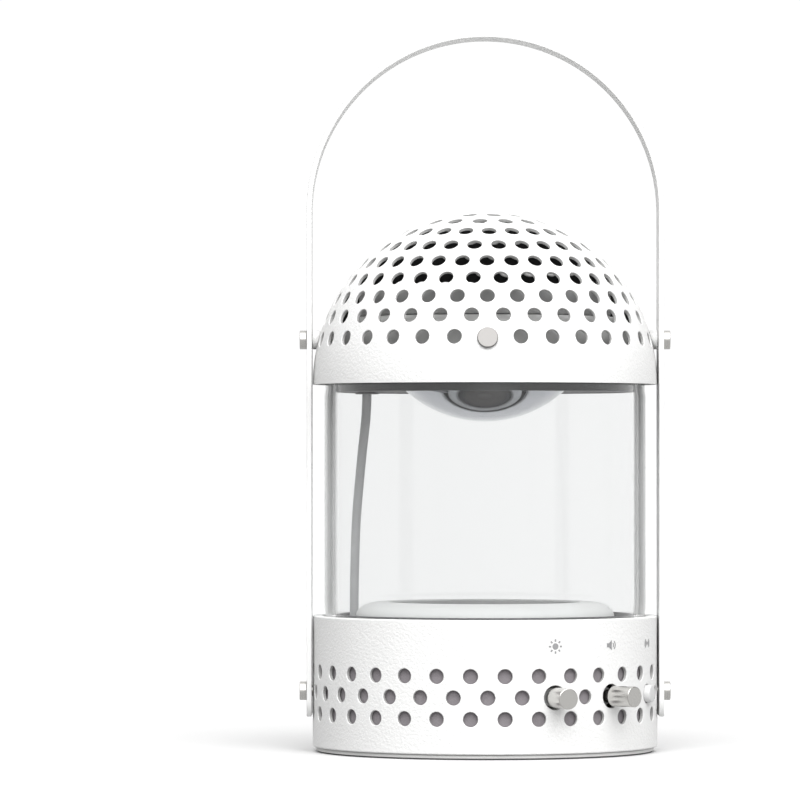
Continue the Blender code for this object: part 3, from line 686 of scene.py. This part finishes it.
def woven(name, colour, pitch):
    """Speaker cloth: threads round the drum and up it."""
    material = new_material(name, colour, 0.95, Sheen_Weight=0.2)
    point = object_point(material)
    split = node(material, "SeparateXYZ", {0: point})
    turn = compute(material, "ARCTAN2", split.outputs["Y"], split.outputs["X"])
    threads = round(2 * math.pi * LINER_OUTER / pitch / 2) * 2
    around = compute(material, "MULTIPLY", turn, threads)
    up = compute(material, "MULTIPLY", split.outputs["Z"], 2 * math.pi / (pitch * MM))
    warp = compute(material, "SINE", around)
    weft = compute(material, "SINE", up)
    cross = compute(material, "MULTIPLY", warp, weft)
    weave = node(material, "MapRange", {"Value": cross, "From Min": -1.0, "From Max": 1.0}).outputs["Result"]
    tone = compute(material, "MULTIPLY", weave, noise(material, point, 0.4))
    drive(material, "Base Color", mixed(material, tone, shade(colour, 0.75), shade(colour, 1.5)))
    add_bump(material, weave, 0.08)
    return material


def clear_glass(name):
    """Glass with a faint cool tint, which lets light sources reach what is behind it."""
    material = new_material(name, (0.935, 0.94, 0.94), 0.0, IOR=1.5, Transmission_Weight=1.0)
    tree = material.node_tree
    shader = tree.nodes["Principled BSDF"]
    clear = node(material, "BsdfTransparent", {"Color": (0.9, 0.91, 0.91, 1)})
    path = node(material, "LightPath")
    choice = {0: path.outputs["Is Shadow Ray"], 1: shader.outputs[0], 2: clear.outputs[0]}
    mix = node(material, "MixShader", choice)
    tree.links.new(mix.outputs[0], tree.nodes["Material Output"].inputs["Surface"])
    return material


def board_material(name, colour):
    """A circuit board: solder mask over fine traces."""
    material = new_material(name, colour, 0.4)
    point = object_point(material)
    inputs = {"Vector": point, "Scale": 700.0, "Mortar Size": 0.03}
    traces = node(material, "TexBrick", inputs).outputs["Fac"]
    drive(material, "Base Color", mixed(material, traces, colour, shade(colour, 1.8)))
    add_bump(material, traces, 0.03)
    return material


WHITE = (0.77, 0.77, 0.765)
looks = {
    "white_paint": grained("white_powder_coat", WHITE, 0.5, 1.0, 0.3, tone=0.012),
    "strap_coat": grained("smooth_white_coat", WHITE, 0.6, 0.6, 0.0, 0.0, 0.01),
    "trim_coat": grained("trim_coat", (0.60, 0.60, 0.595), 0.5, 0.6, 0.01, tone=0.01),
    # The hole walls' grey is painted shade: the white coat is darkened inside the holes to stand for the
    # shade that falls there.
    "hole_wall": grained("hole_wall_painted_shade", (0.42, 0.42, 0.415), 0.5, 0.5, 0.03),
    "dark_inside": grained("dark_inside_coat", (0.018, 0.018, 0.019), 0.7, 0.6, 0.03),
    "black_plastic": grained("black_moulded_plastic", (0.03, 0.03, 0.032), 0.5, 0.3, 0.02),
    "grey_plastic": grained("grey_moulded_plastic", (0.42, 0.42, 0.42), 0.55, 0.3, 0.02),
    "lead_jacket": grained("lead_jacket", (0.36, 0.36, 0.365), 0.5, 0.5, 0.02),
    "pale_rubber": grained("pale_rubber", (0.7, 0.7, 0.69), 0.8, 0.3, 0.03),
    "dark_rubber": grained("dark_rubber", (0.075, 0.075, 0.077), 0.8, 0.4, 0.03, Specular_IOR_Level=0.2),
    "grey_cloth": woven("speaker_cloth", (0.26, 0.24, 0.255), 0.55),
    "satin_metal": turned_metal("satin_turned_metal", (0.60, 0.59, 0.57), 0.27, 0.05, 0.0006),
    # The studs' metal is a darker copy of the turned metal: painted shade that dims the light reflected from
    # their faces.
    "stud_metal": turned_metal("stud_metal_painted_shade", (0.19, 0.185, 0.18), 0.35, 0.06, 0.0008),
    "steel": turned_metal("plain_steel", (0.55, 0.55, 0.55), 0.35, 0.08, 0.004),
    "bright_metal": grained("polished_metal", (0.44, 0.45, 0.475), 0.02, 8.0, 0.0, 0.0, 0.01, 1.0),
    "ferrite": grained("ferrite", (0.05, 0.05, 0.055), 0.55, 0.2, 0.02, metallic=0.3),
    "paper": grained("cone_paper", (0.11, 0.10, 0.095), 0.85, 1.5, 0.015, 0.03, 0.08),
    "green_board": board_material("green_board", (0.03, 0.20, 0.09)),
    "white_board": board_material("white_board", (0.80, 0.80, 0.78)),
    "frosted_plastic": grained("frosted_plastic", (0.20, 0.20, 0.20), 0.7, 0.25, 0.02),
    "cell_wrap": grained("cell_wrap", (0.10, 0.22, 0.45), 0.35, 1.5, 0.02),
    "clear_glass": clear_glass("clear_glass"),
    "pale_plastic": grained("pale_moulded_plastic", (0.80, 0.80, 0.79), 0.55, 0.3, 0.02),
    "button_cap": grained("button_plastic", (0.60, 0.60, 0.60), 0.45, 0.4, 0.02),
    "print": grained("printed_ink", (0.27, 0.27, 0.275), 0.6, 0.2, 0.005),
}


def dress_cad_nodes():
    """Gives each CAD node the finish of its material slot."""
    for name, cad in frame["nodes"].items():
        cad.data.materials.clear()
        cad.data.materials.append(looks[SLOT_OF[name]])


# Base


def make_foot():
    pad = [(0, 1.8), (61.4, 1.8), (61.7, 1.5), (61.7, 0.7), (61.4, 0.5), (0, 0.5)]
    turned_for("foot_pad", "foot_pad_shape", "pale_rubber", pad, reach=0.2)
    # The dark ring under the pad is painted shadow: it stands for the contact shadow where the foot meets the
    # floor.
    contact_shadow_band = turned("foot_contact_shadow_band", looks["dark_rubber"], [(0, 0.5), (61.2, 0.5), (61.2, 0), (0, 0)], reach=0.1)
    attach(contact_shadow_band, LANTERN)


def drum_holes():
    controls = (LIGHT_AZIMUTH, VOLUME_AZIMUTH, BUTTON_AZIMUTH, PORT_AZIMUTH, *STRAP_AZIMUTHS)
    holes = []
    for height, shift in DRUM_ROWS:
        for i in range(FULL_ROW):
            azimuth = (i + shift) * PITCH
            if shift or not taken(azimuth, controls):
                holes.append(Hole(azimuth, height, HOLE_RADIUS))
    return holes + control_holes(0.0)


def control_holes(wider):
    """Holes for the knobs, the button, the strap screws and the socket."""
    knob, button = KNOB_HOLE + wider, BUTTON_HOLE + wider * 5
    controls = ((LIGHT_AZIMUTH, knob), (VOLUME_AZIMUTH, knob), (BUTTON_AZIMUTH, button))
    holes = [Hole(azimuth, CONTROL_HEIGHT, radius, sides=40) for azimuth, radius in controls]
    holes += [Hole(azimuth, CONTROL_HEIGHT, SCREW_HOLE + wider) for azimuth in STRAP_AZIMUTHS]
    stretch = PORT_HALF_WIDTH - PORT_HALF_HEIGHT
    holes.append(Hole(PORT_AZIMUTH, CONTROL_HEIGHT, PORT_HALF_HEIGHT + wider, stretch, 40))
    return holes


def closed_wall(name, surface, holes, levels, lower, upper, materials, edge, reach):
    """A punched cylinder between two rims, each an outline of radius and height."""
    azimuths = np.arange(BODY_SIDES) * 360 / BODY_SIDES
    borders = []
    for outline in (lower, upper):
        height = outline[0][1]
        ring = surface.flat(azimuths, np.full(BODY_SIDES, height))
        borders.append((ring, outline is lower, rim_rows(azimuths, outline, reach)))
    filling = filling_points(surface, azimuths[::2] + 1.0, levels, holes, edge + 0.7)
    return punched(name, surface, holes, borders, filling, materials, edge)


def plain_rim(outer, inner, near, end):
    """A plain rim's outline: along the outer face to the end, across it and back."""
    return [(outer, near), (outer, end), (inner, end), (inner, near)]


def make_drum():
    inner = BODY_RADIUS - DRUM_WALL
    low, high = 4.5, 46.8
    lower = plain_rim(BODY_RADIUS, inner, low, DRUM_BOTTOM)
    under_flange = DRUM_TOP - DRUM_WALL
    upper = [(BODY_RADIUS, high), (BODY_RADIUS, DRUM_TOP), (FLANGE_INNER, DRUM_TOP)]
    upper += [(FLANGE_INNER, under_flange), (inner, under_flange), (inner, high)]
    wall = Wall(BODY_RADIUS, DRUM_WALL)
    levels = np.arange(7.0, 46.0, 2.4)
    # The third material, for the hole walls, is painted shade.
    materials = [looks["white_paint"], looks["dark_inside"], looks["hole_wall"]]
    drum = closed_wall("drum_shell", wall, drum_holes(), levels, lower, upper, materials, 0.3, 0.6)
    stand_for(drum, "base_drum")


def make_liner():
    wall = Wall(LINER_OUTER, LINER_WALL)
    inner = LINER_OUTER - LINER_WALL
    lower = plain_rim(LINER_OUTER, inner, LINER_BOTTOM + 0.5, LINER_BOTTOM)
    upper = plain_rim(LINER_OUTER, inner, LINER_TOP - 0.5, LINER_TOP)
    levels = np.arange(10.0, 44.0, 6.0)
    cloth = [looks["grey_cloth"]] * 3
    liner = closed_wall("speaker_cloth", wall, control_holes(0.3), levels, lower, upper, cloth, 0.1, 0.15)
    stand_for(liner, "base_mesh")


def make_knobs():
    outline = [(0, KNOB_REACH), (KNOB_RADIUS, KNOB_REACH), (KNOB_RADIUS, 1.3), (2.4, 1.1), (2.4, -2.6)]
    outline += [(1.7, -2.6), (1.7, -10), (0, -10)]
    for azimuth, name in ((LIGHT_AZIMUTH, "light_knob"), (VOLUME_AZIMUTH, "volume_knob")):
        place = outward(azimuth, BODY_RADIUS, CONTROL_HEIGHT)
        turned_for(name, name + "_shape", "satin_metal", outline, 64, 0.35, place, name)
    cap = [(0, 2.3), (2.0, 2.25), (BUTTON_RADIUS, 2.0), (BUTTON_RADIUS, -2.1), (4.6, -2.1), (4.6, -3.2)]
    cap += [(1.5, -3.2), (1.5, -6), (0, -6)]
    place = outward(BUTTON_AZIMUTH, BODY_RADIUS, CONTROL_HEIGHT)
    name = "pairing_button"
    turned_for(name, name + "_shape", "button_cap", cap, 64, 0.4, place, name)


# Pictograms, printed on the drum


def disc(radius):
    return [(radius * math.cos(angle), radius * math.sin(angle)) for angle in circle(24)]


def bar(x0, y0, x1, y1, width):
    """A bar between two points, as the outline of a thin rectangle."""
    along = unit(np.array([x1 - x0, y1 - y0]))
    side = np.array([-along[1], along[0]]) * width / 2
    start, end = np.array([x0, y0]), np.array([x1, y1])
    return [tuple(start - side), tuple(end - side), tuple(end + side), tuple(start + side)]


def bow(x, radius, facing, half_angle):
    """A curved stroke about a point at mid height, as short bars' outlines in one strip."""
    width, steps = 0.42, 8
    start, end = facing - half_angle, facing + half_angle
    outer, inner = (arc(x, 0, r, r, start, end, steps) for r in (radius + width / 2, radius - width / 2))
    return [[outer[i], outer[i + 1], inner[i + 1], inner[i]] for i in range(steps)]


def print_mark(name, azimuth, height, shapes):
    """Flat convex shapes, in millimetres right and up from the mark's middle, printed on the drum."""
    base, top = BODY_RADIUS - 0.02, BODY_RADIUS + 0.05
    points, normals, faces = [], [], []
    for shape in shapes:
        start, count = len(points), len(shape)
        below = start + count + 1
        middle = tuple(np.mean(shape, axis=0))
        for radius, facing in ((top, 1), (base, -1)):
            for x, y in [*shape, middle]:
                out = direction(azimuth + math.degrees(x / BODY_RADIUS))
                points.append(tuple(out * radius + (0, 0, height + y)))
                normals.append(tuple(out * facing))
        for i in range(count):
            after = (i + 1) % count
            faces.append((start + i, start + after, start + count))
            faces.append((below + i, below + after, below + count))
            faces.append((start + i, start + after, below + after, below + i))
    mark = build(name, points, faces, normals, [looks["print"]])
    mark.data.normals_split_custom_set([(0, 0, 0)] * len(mark.data.loops))
    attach(mark, LANTERN)


def make_marks():
    height = 40.2
    rays = []
    for i in range(8):
        x, y = math.cos(math.radians(45 * i)), math.sin(math.radians(45 * i))
        rays.append(bar(1.7 * x, 1.7 * y, 2.55 * x, 2.55 * y, 0.6))
    print_mark("light_mark", LIGHT_AZIMUTH, height, [disc(1.15), *rays])
    horn = [(-2.3, -0.7), (-1.3, -0.7), (-1.3, 0.7), (-2.3, 0.7)]
    bell = [(-1.3, -0.7), (0.1, -1.8), (0.1, 1.8), (-1.3, 0.7)]
    waves = bow(0.1, 0.95, 0, 48) + bow(0.1, 1.85, 0, 48)
    print_mark("volume_mark", VOLUME_AZIMUTH, height, [horn, bell, *waves])
    radio = [disc(0.5)]
    for radius in (1.2, 2.1):
        radio += bow(0, radius, 0, 42) + bow(0, radius, 180, 42)
    print_mark("pairing_mark", BUTTON_AZIMUTH, height, radio)


# Glass chamber


def make_glass():
    """Both faces draw in together at each end, and are straight between the support rows."""
    ends = [(-0.25, 48.5), (-0.25, 50.3), (0.0, 54.5), (0.0, 55.5)]
    ends += [(0.0, 128.5), (0.0, 129.5), (-0.25, 131.8), (-0.25, 136.0)]
    outline = [(GLASS_OUTER + inset, height) for inset, height in ends]
    outline += [(GLASS_INNER + inset, height) for inset, height in reversed(ends)]
    turned_for("glass_tube", "glass_cylinder", "clear_glass", outline, 192, 0.4)


def make_gaskets():
    inner, lip = 52.8, 54.8
    lower = [(inner, 50.2), (lip, 50.2), (lip, 48.2), (GLASS_OUTER, 48.2), (GLASS_OUTER, 46.7)]
    lower.append((inner, 46.7))
    upper = [(inner, 137.8), (GLASS_OUTER, 137.8), (GLASS_OUTER, 136.3), (lip, 136.3), (lip, 131.1)]
    upper.append((inner, 131.1))
    for name, outline in (("lower_gasket", lower), ("upper_gasket", upper)):
        turned_for(name, name + "_ring", "dark_rubber", outline, reach=0.5)


def make_driver():
    shoulder = arc(38.5, 49.6, 8.75, 5.0, 90, 0, 16)
    trim = [(34.9, 54.6), *shoulder, (47.25, 46.7), (39.3, 46.7), (39.3, 48.5), (34.9, 48.5)]
    turned_for("driver_trim", "driver_trim_ring", "trim_coat", trim)
    # The grey ring on the trim's inner wall is painted shade: it darkens the bore seen over the front rim,
    # where the opening lies in shade.
    inner_shade_outline = [(33.7, 54.2), (34.85, 54.4), (34.85, 48.5), (33.7, 48.5)]
    ring = turned("driver_trim_inner_shade", looks["grey_plastic"], inner_shade_outline, reach=0.2)
    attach(ring, LANTERN)
    cone = [(26.0, 47.0), (26.9, 46.6), (8.4, 33.9), (8.4, 19.0), (7.8, 19.0), (7.8, 34.4)]
    turned_for("driver_cone", "driver_cone_shape", "paper", cone, 96, 0.15, body="driver_cone")
    over, under = arc(0, 22.0, 20.6, 18.2, 80, 60, 8), arc(0, 21.4, 19.0, 18.2, 62, 80, 8)
    cap = [(0, 40.2), *over, (9.5, 36.8), *under, (0, 39.6)]
    turned_for("driver_dust_cap", "driver_dust_cap_shape", "paper", cap, 64, 0.1, body="driver_cone")
    make_surround()


def make_surround():
    """The half roll round the cone, in sectors, each bending between the frame and the cone."""
    roll_top = arc(29.5, 48.2, 2.1, 2.2, 180, 0, 10)
    roll_under = arc(29.5, 47.6, 1.6, 2.2, 0, 180, 10)
    outline = [(25.4, 48.2), *roll_top, (33.4, 49.0), (33.4, 48.5), (31.7, 48.4), *roll_under, (25.4, 47.5)]
    rows = rounded(clockwise(outline), 0.15, closed=True)
    sectors, steps = 12, 8
    width = 360 / sectors
    for number in range(sectors):
        azimuths = width * (number + np.linspace(-0.5, 0.5, steps + 1))
        spokes = direction(azimuths)
        points, normals = [], []
        for radius, height, out, up in rows:
            points += [tuple(spoke * radius + (0, 0, height)) for spoke in spokes]
            normals += [tuple(spoke * out + (0, 0, up)) for spoke in spokes]
        grid = np.arange(len(points)).reshape(len(rows), steps + 1)
        faces = skin(grid, looped=True, closed=False)
        sector = build(f"surround_sector_{number:02d}", points, faces, normals, [looks["dark_rubber"]])
        if number == 0:
            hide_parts("driver_surround")
        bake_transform(sector)


def smooth_route(points, spacing):
    """Points about this far apart on a Catmull-Rom curve."""
    knots = [np.array(point, float) for point in points]
    padded = [2 * knots[0] - knots[1], *knots, 2 * knots[-1] - knots[-2]]
    route = [knots[0]]
    for a, b, c, d in zip(padded, padded[1:], padded[2:], padded[3:]):
        steps = max(1, round(np.linalg.norm(c - b) / spacing))
        for t in np.arange(1, steps + 1) / steps:
            pull = (c - a) * t + (2 * a - 5 * b + 4 * c - d) * t**2 + (3 * b - a - 3 * c + d) * t**3
            route.append(b + pull / 2)
    return np.array(route)


def make_lead():
    """The lamp's lead: a smooth round jacket along its route."""
    route = smooth_route(LEAD_POINTS, 1.5)
    along = unit(np.gradient(route, axis=0))
    side = unit(np.cross(along, (0.0, 1.0, 0.0)))
    other = np.cross(along, side)
    sides = 20
    angles = circle(sides)
    out = side[:, None] * np.cos(angles)[None, :, None] + other[:, None] * np.sin(angles)[None, :, None]
    points = (route[:, None] + out * LEAD_RADIUS).reshape(-1, 3)
    normals = out.reshape(-1, 3)
    grid = np.arange(len(points)).reshape(len(route), sides)
    faces = skin(grid)
    ends = np.array([route[0], route[-1]])
    for centre, ring in zip((len(points), len(points) + 1), (grid[0], grid[-1])):
        faces += [(int(a), int(b), centre) for a, b in zip(ring, np.roll(ring, -1))]
    points = np.concatenate([points, ends])
    normals = np.concatenate([normals, [-along[0], along[-1]]])
    stand_for(build("lead_jacket", points, faces, normals, [looks["lead_jacket"]]), "lamp_lead")
    bore = LEAD_RADIUS + 0.05
    below, above = (upright(*LEAD_POINTS[number][:2]) for number in (6, 0))
    sleeve = [(bore, 48.6), (2.55, 48.6), (2.55, 43.6), (bore, 43.6)]
    turned_for("lead_grommet_lower", "lower_grommet", "dark_rubber", sleeve, FINE_SIDES, 0.2, below)
    collar = [(bore, 133.9), (3.2, 133.9), (3.2, 131.1), (4.4, 131.1), (4.4, 130.5), (bore, 130.5)]
    turned_for("lead_grommet_upper", "upper_grommet", "dark_rubber", collar, FINE_SIDES, 0.2, above)


def make_reflector():
    """The polished cup under the lamp."""
    sweep = math.degrees(math.asin(REFLECTOR_SIDE / REFLECTOR_RADIUS))
    centre = REFLECTOR_BOTTOM + REFLECTOR_RADIUS
    outside = arc(0, centre, REFLECTOR_RADIUS, REFLECTOR_RADIUS, -90, -90 + sweep, 28)
    inner_radius = REFLECTOR_RADIUS - REFLECTOR_WALL
    inner_side = REFLECTOR_SIDE - REFLECTOR_WALL
    inner_sweep = math.degrees(math.asin(inner_side / inner_radius))
    boss, bore, bore_end = 4.0, 1.8, 125.0
    boss_sweep = math.degrees(math.asin(boss / inner_radius))
    inside = arc(0, centre, inner_radius, inner_radius, -90 + inner_sweep, -90 + boss_sweep, 16)
    outline = [(0, REFLECTOR_BOTTOM), *outside[1:]]
    outline += [(REFLECTOR_SIDE, REFLECTOR_TOP), (inner_side, REFLECTOR_TOP)]
    outline += [*inside, (boss, REFLECTOR_TOP), (bore, REFLECTOR_TOP), (bore, bore_end), (0, bore_end)]
    turned_for("reflector_dome", "reflector_cup", "bright_metal", outline, 128, 0.25)
    window = [(30.2, 133.2), (52.3, 133.2), (52.3, 131.4), (30.2, 131.4)]
    turned_for("light_window", "light_window_ring", "frosted_plastic", window)


# Dome


def make_housing():
    """The lamp's housing, seen through the dome's lower holes, with the bosses of the dome's screws."""
    shoulder = arc(47.0, 152.5, 6.0, 6.0, 90, 0, 12)
    outline = [(5.0, 158.5), *shoulder, (53.0, 140.9), (50.5, 140.9), (50.5, 150.0)]
    outline += [(48.0, 150.0), (48.0, 152.5), (44.5, 156.0), (5.0, 156.0)]
    parts = [(turned_parts(outline, BODY_SIDES, 1.6), Matrix())]
    boss = [(SCREW_HOLE, 0), (4.5, 0), (4.5, 7.6), (SCREW_HOLE, 7.6)]
    for azimuth in (0, 180):
        parts.append((turned_parts(boss, FINE_SIDES, 0.2), on_dome(azimuth, STUD_LATITUDE, 53.2)))
    for azimuth in STRAP_AZIMUTHS:
        parts.append((turned_parts(boss, FINE_SIDES, 0.2), outward(azimuth, 52.0, UPPER_SCREW_HEIGHT)))
    stand_for(merged("lamp_housing_shell", looks["pale_plastic"], parts), "lamp_housing")


def make_treble():
    baffle = [(14.6, 163.4), (42.0, 168.5), (44.8, 168.5), (46.0, 167.3), (46.0, 158.8), (43.6, 158.8)]
    baffle += [(43.6, 166.3), (14.6, 161.2)]
    turned_for("treble_baffle", "treble_baffle_ring", "grey_plastic", baffle, reach=0.8)
    body = [(0, 166.6), *arc(0, 157.4, 9.2, 9.2, 85, 45, 8), (8.0, 164.0), (14.2, 164.0), (14.2, 159.2)]
    body.append((0, 159.2))
    turned_for("treble_driver", "treble_driver_shape", "black_plastic", body, 64)


def make_dome():
    ball = Ball(BODY_RADIUS, DOME_WALL, DOME_CENTRE)
    holes = []
    for latitude, count, first in DOME_ROWS:
        for i in range(count):
            azimuth = first + 360 * i / count
            if latitude != STUD_LATITUDE or not taken(azimuth, (0, 90, 180, 270)):
                holes.append(Hole(azimuth, latitude, HOLE_RADIUS))
    holes += [Hole(azimuth, STUD_LATITUDE, SCREW_HOLE) for azimuth in (0, 180, *STRAP_AZIMUTHS)]
    azimuths = np.arange(BODY_SIDES) * 360 / BODY_SIDES
    ring = ball.flat(azimuths, np.full(BODY_SIDES, DOME_BORDER))
    rise = math.radians(DOME_BORDER)
    start = (BODY_RADIUS * math.cos(rise), DOME_CENTRE + BODY_RADIUS * math.sin(rise))
    end = (DOME_INNER * math.cos(rise), DOME_CENTRE + DOME_INNER * math.sin(rise))
    outline = [start, (BODY_RADIUS, DOME_CENTRE), (BODY_RADIUS, DOME_EDGE), (DOME_INNER, DOME_EDGE)]
    outline += [(DOME_INNER, DOME_CENTRE), end]
    borders = [(ring, False, rim_rows(azimuths, outline, 0.13))]
    filling = [np.zeros((1, 2))]
    for latitude in np.arange(5.0, 88.0, 2.2):
        around = max(6, round(BODY_SIDES * 0.75 * math.cos(math.radians(latitude))))
        steps = np.arange(around) * 360 / around
        filling.append(filling_points(ball, steps, [latitude], holes, 1.0))
    # The third material, for the hole walls, is painted shade.
    materials = [looks["white_paint"], looks["dark_inside"], looks["hole_wall"]]
    stand_for(punched("dome_sheet", ball, holes, borders, np.concatenate(filling), materials), "dome_shell")


def make_fasteners():
    """Studs of the dome and screws of the strap, with the sleeves that hold the strap off the dome."""
    under = BODY_RADIUS + 0.15
    stud = [(0, 64.1), (3.75, 64.1), (3.75, under), (2, under), (2, 54), (0, 54)]
    for azimuth, name in ((0, "front_stud"), (180, "rear_stud")):
        # The studs take the darkened metal, painted shade on their faces.
        place = on_dome(azimuth, STUD_LATITUDE - 0.6, 0)
        turned_for(name, name + "_shape", "stud_metal", stud, 64, 0.35, place)
    under = STRAP_OUTER + 0.15
    for azimuth, side in ((90, "right"), (270, "left")):
        for level, height, tip in (("lower", CONTROL_HEIGHT, 53), ("upper", UPPER_SCREW_HEIGHT, 52)):
            screw = [(0, SCREW_TOP), (SCREW_HEAD, SCREW_TOP), (SCREW_HEAD, under)]
            screw += [(2, under), (2, tip), (0, tip)]
            name = f"{level}_strap_screw_{side}"
            place = outward(azimuth, 0, height)
            turned_for(name, name + "_shape", "satin_metal", screw, 64, place=place)
        make_spacer(azimuth, side)


def make_spacer(azimuth, side):
    """A sleeve whose inner end follows the dome."""
    sides = 64
    angles = circle(sides)
    rings, normals = [], []
    sign = 1 if azimuth == 90 else -1
    top = STRAP_INNER - 0.15
    rise = UPPER_SCREW_HEIGHT - DOME_CENTRE

    def ring(radius, distance, normal_out, normal_in):
        """One ring at this distance from the axis, or on the dome where there is none."""
        y, z = radius * np.cos(angles), radius * np.sin(angles)
        on_ball = np.sqrt((BODY_RADIUS + 0.1) ** 2 - y**2 - (z + rise) ** 2)
        reach = on_ball if distance is None else distance + 0 * y
        rings.append(np.stack([sign * reach, y, z + UPPER_SCREW_HEIGHT], axis=-1))
        turn = np.stack([0 * y, np.cos(angles), np.sin(angles)], axis=-1)
        normals.append(unit(turn * normal_out + np.array([sign * normal_in, 0, 0])))

    ring(SCREW_HOLE, None, -1, -1)
    ring(SCREW_HEAD, None, 1, -1)
    ring(SCREW_HEAD, top - 0.2, 1, 0)
    ring(SCREW_HEAD - 0.2, top, 0, 1)
    ring(SCREW_HOLE, top, -1, 1)
    count = len(rings)
    numbers = np.arange(count * sides).reshape(count, sides)
    faces = skin(numbers, looped=True)
    points, bearings = np.concatenate(rings), np.concatenate(normals)
    sleeve = build("spacer_" + side, points, faces, bearings, [looks["white_paint"]])
    stand_for(sleeve, "strap_spacer_" + side)


# Handle


def make_strap():
    band = Band()
    edge = 0.35
    length = 2 * band.LEG + band.BEND
    half = STRAP_WIDTH / 2
    bends = band.LEG + band.BEND * np.arange(97) / 96
    legs = np.linspace(6, band.LEG - 6, 24)
    stations = np.concatenate([legs, bends, length - legs[::-1]])

    def border(inset):
        """The strip's outline, drawn in by this much."""
        low, high, near = inset, length - inset, half - inset
        right = [(along, near) for along in stations[::-1]]
        left = [(along, -near) for along in stations]
        return np.array([(low, -near), *left, (high, -near), (high, near), *right, (low, near)])

    bevel = edge * (1 - math.sqrt(0.5))
    thickness = band.thickness
    steps = [(bevel, bevel, 1), (0, edge, 0), (0, thickness - edge, 0), (bevel, thickness - bevel, -1)]
    outer = border(edge)
    away = unit(band.place(border(0), 0) - band.place(outer, 0))
    rim = []
    for inset, depth, lean in steps:
        ring = border(inset)
        rim.append((band.place(ring, depth), unit(away + band.normal(ring) * lean)))
    low_screw = CONTROL_HEIGHT - STRAP_END
    high_screw = UPPER_SCREW_HEIGHT - STRAP_END
    places = (low_screw, high_screw, length - high_screw, length - low_screw)
    holes = [Hole(place, 0.0, SCREW_HOLE) for place in places]
    across = np.linspace(-half + 2.5, half - 2.5, 5)
    grid_along, grid_across = np.meshgrid(stations, across)
    filling = np.stack([grid_along.ravel(), grid_across.ravel()], axis=-1)
    for hole in holes:
        far = np.hypot(filling[:, 0] - hole.azimuth, filling[:, 1]) > SCREW_HOLE + 1
        filling = filling[far]
    white = looks["strap_coat"]
    strap = punched("handle_band", band, holes, [(outer, False, rim)], filling, [white, white, white], 0.3)
    stand_for(strap, "handle_strap")


# Stage


def make_camera():
    data = bpy.data.cameras.new("camera")
    data.sensor_width = 36.0
    data.lens = CAMERA_LENS
    data.clip_end = 100
    camera = bpy.data.objects.new("camera", data)
    camera.location = CAMERA_PLACE
    camera.rotation_euler = (math.radians(CAMERA_PITCH), 0, 0)
    bpy.context.scene.collection.objects.link(camera)
    bpy.context.scene.camera = camera


def make_world():
    """A studio that is white behind and pale low down, with a large light in front and one overhead.

    What is seen directly or through glass is the white behind, from every side.
    """
    world = bpy.data.worlds.new("studio")
    bpy.context.scene.world = world
    world.use_nodes = True
    way = node(world, "TexCoord").outputs["Generated"]
    split = node(world, "SeparateXYZ", {0: way})

    def ramp(value, low, high, start, end):
        inputs = {"Value": value, "From Min": low, "From Max": high, "To Min": start, "To Max": end}
        return node(world, "MapRange", inputs, interpolation_type="SMOOTHSTEP").outputs["Result"]

    def soft_light(azimuth, elevation, strength, spread):
        aim = tuple(direction(azimuth, elevation))
        facing = node(world, "VectorMath", {0: way, 1: aim}, operation="DOT_PRODUCT").outputs["Value"]
        return ramp(facing, spread, 1.0, 0.0, strength)

    rise = split.outputs["Z"]
    sideways = split.outputs["X"]
    low_sky = ramp(sideways, -0.8, 0.8, LOW_LEFT, LOW_RIGHT)
    low_down = compute(world, "MULTIPLY", ramp(rise, 0.2, 0.05, 0.0, 1.0), low_sky)
    behind = ramp(split.outputs["Y"], 0.5, 0.8, 0.0, BACKDROP)
    lights = compute(world, "ADD", soft_light(*FRONT_LIGHT), soft_light(*TOP_LIGHT))
    above = compute(world, "ADD", compute(world, "MAXIMUM", low_down, behind), lights)
    below = ramp(sideways, -0.8, 0.8, BOUNCE_LEFT, BOUNCE_RIGHT)
    depth = ramp(rise, -0.02, -0.15, 0.0, 1.0)
    lit = node(world, "Mix", {0: depth, 2: above, 3: below}).outputs[0]
    path = node(world, "LightPath").outputs
    seen = compute(world, "MAXIMUM", path["Is Camera Ray"], path["Is Transmission Ray"])
    strength = node(world, "Mix", {0: seen, 2: lit, 3: BACKDROP}).outputs[0]
    background = world.node_tree.nodes["Background"]
    background.inputs["Color"].default_value = (1, 1, 1, 1)
    world.node_tree.links.new(strength, background.inputs["Strength"])


def make_stage():
    bpy.context.scene.view_settings.view_transform = "Standard"
    floor_mesh = bpy.data.meshes.new("floor")
    turns = ((-1, -1), (1, -1), (1, 1), (-1, 1))
    corners = [(x * FLOOR_REACH, y * FLOOR_REACH, 0) for x, y in turns]
    floor_mesh.from_pydata(corners, [], [(0, 1, 2, 3)])
    floor = bpy.data.objects.new("floor", floor_mesh)
    bpy.context.scene.collection.objects.link(floor)
    floor_mesh.materials.append(grained("pale_floor", FLOOR_COLOUR, 0.9, 4.0, 0.0, tone=0.003))
    # The light from below comes from the world, where it can be set.
    for ray in ("diffuse", "glossy", "transmission", "shadow"):
        setattr(floor, "visible_" + ray, False)
    make_world()


make_camera()
make_stage()
dress_cad_nodes()
make_foot()
make_drum()
make_liner()
make_knobs()
make_marks()
make_glass()
make_gaskets()
make_driver()
make_lead()
make_reflector()
make_housing()
make_treble()
make_dome()
make_fasteners()
make_strap()
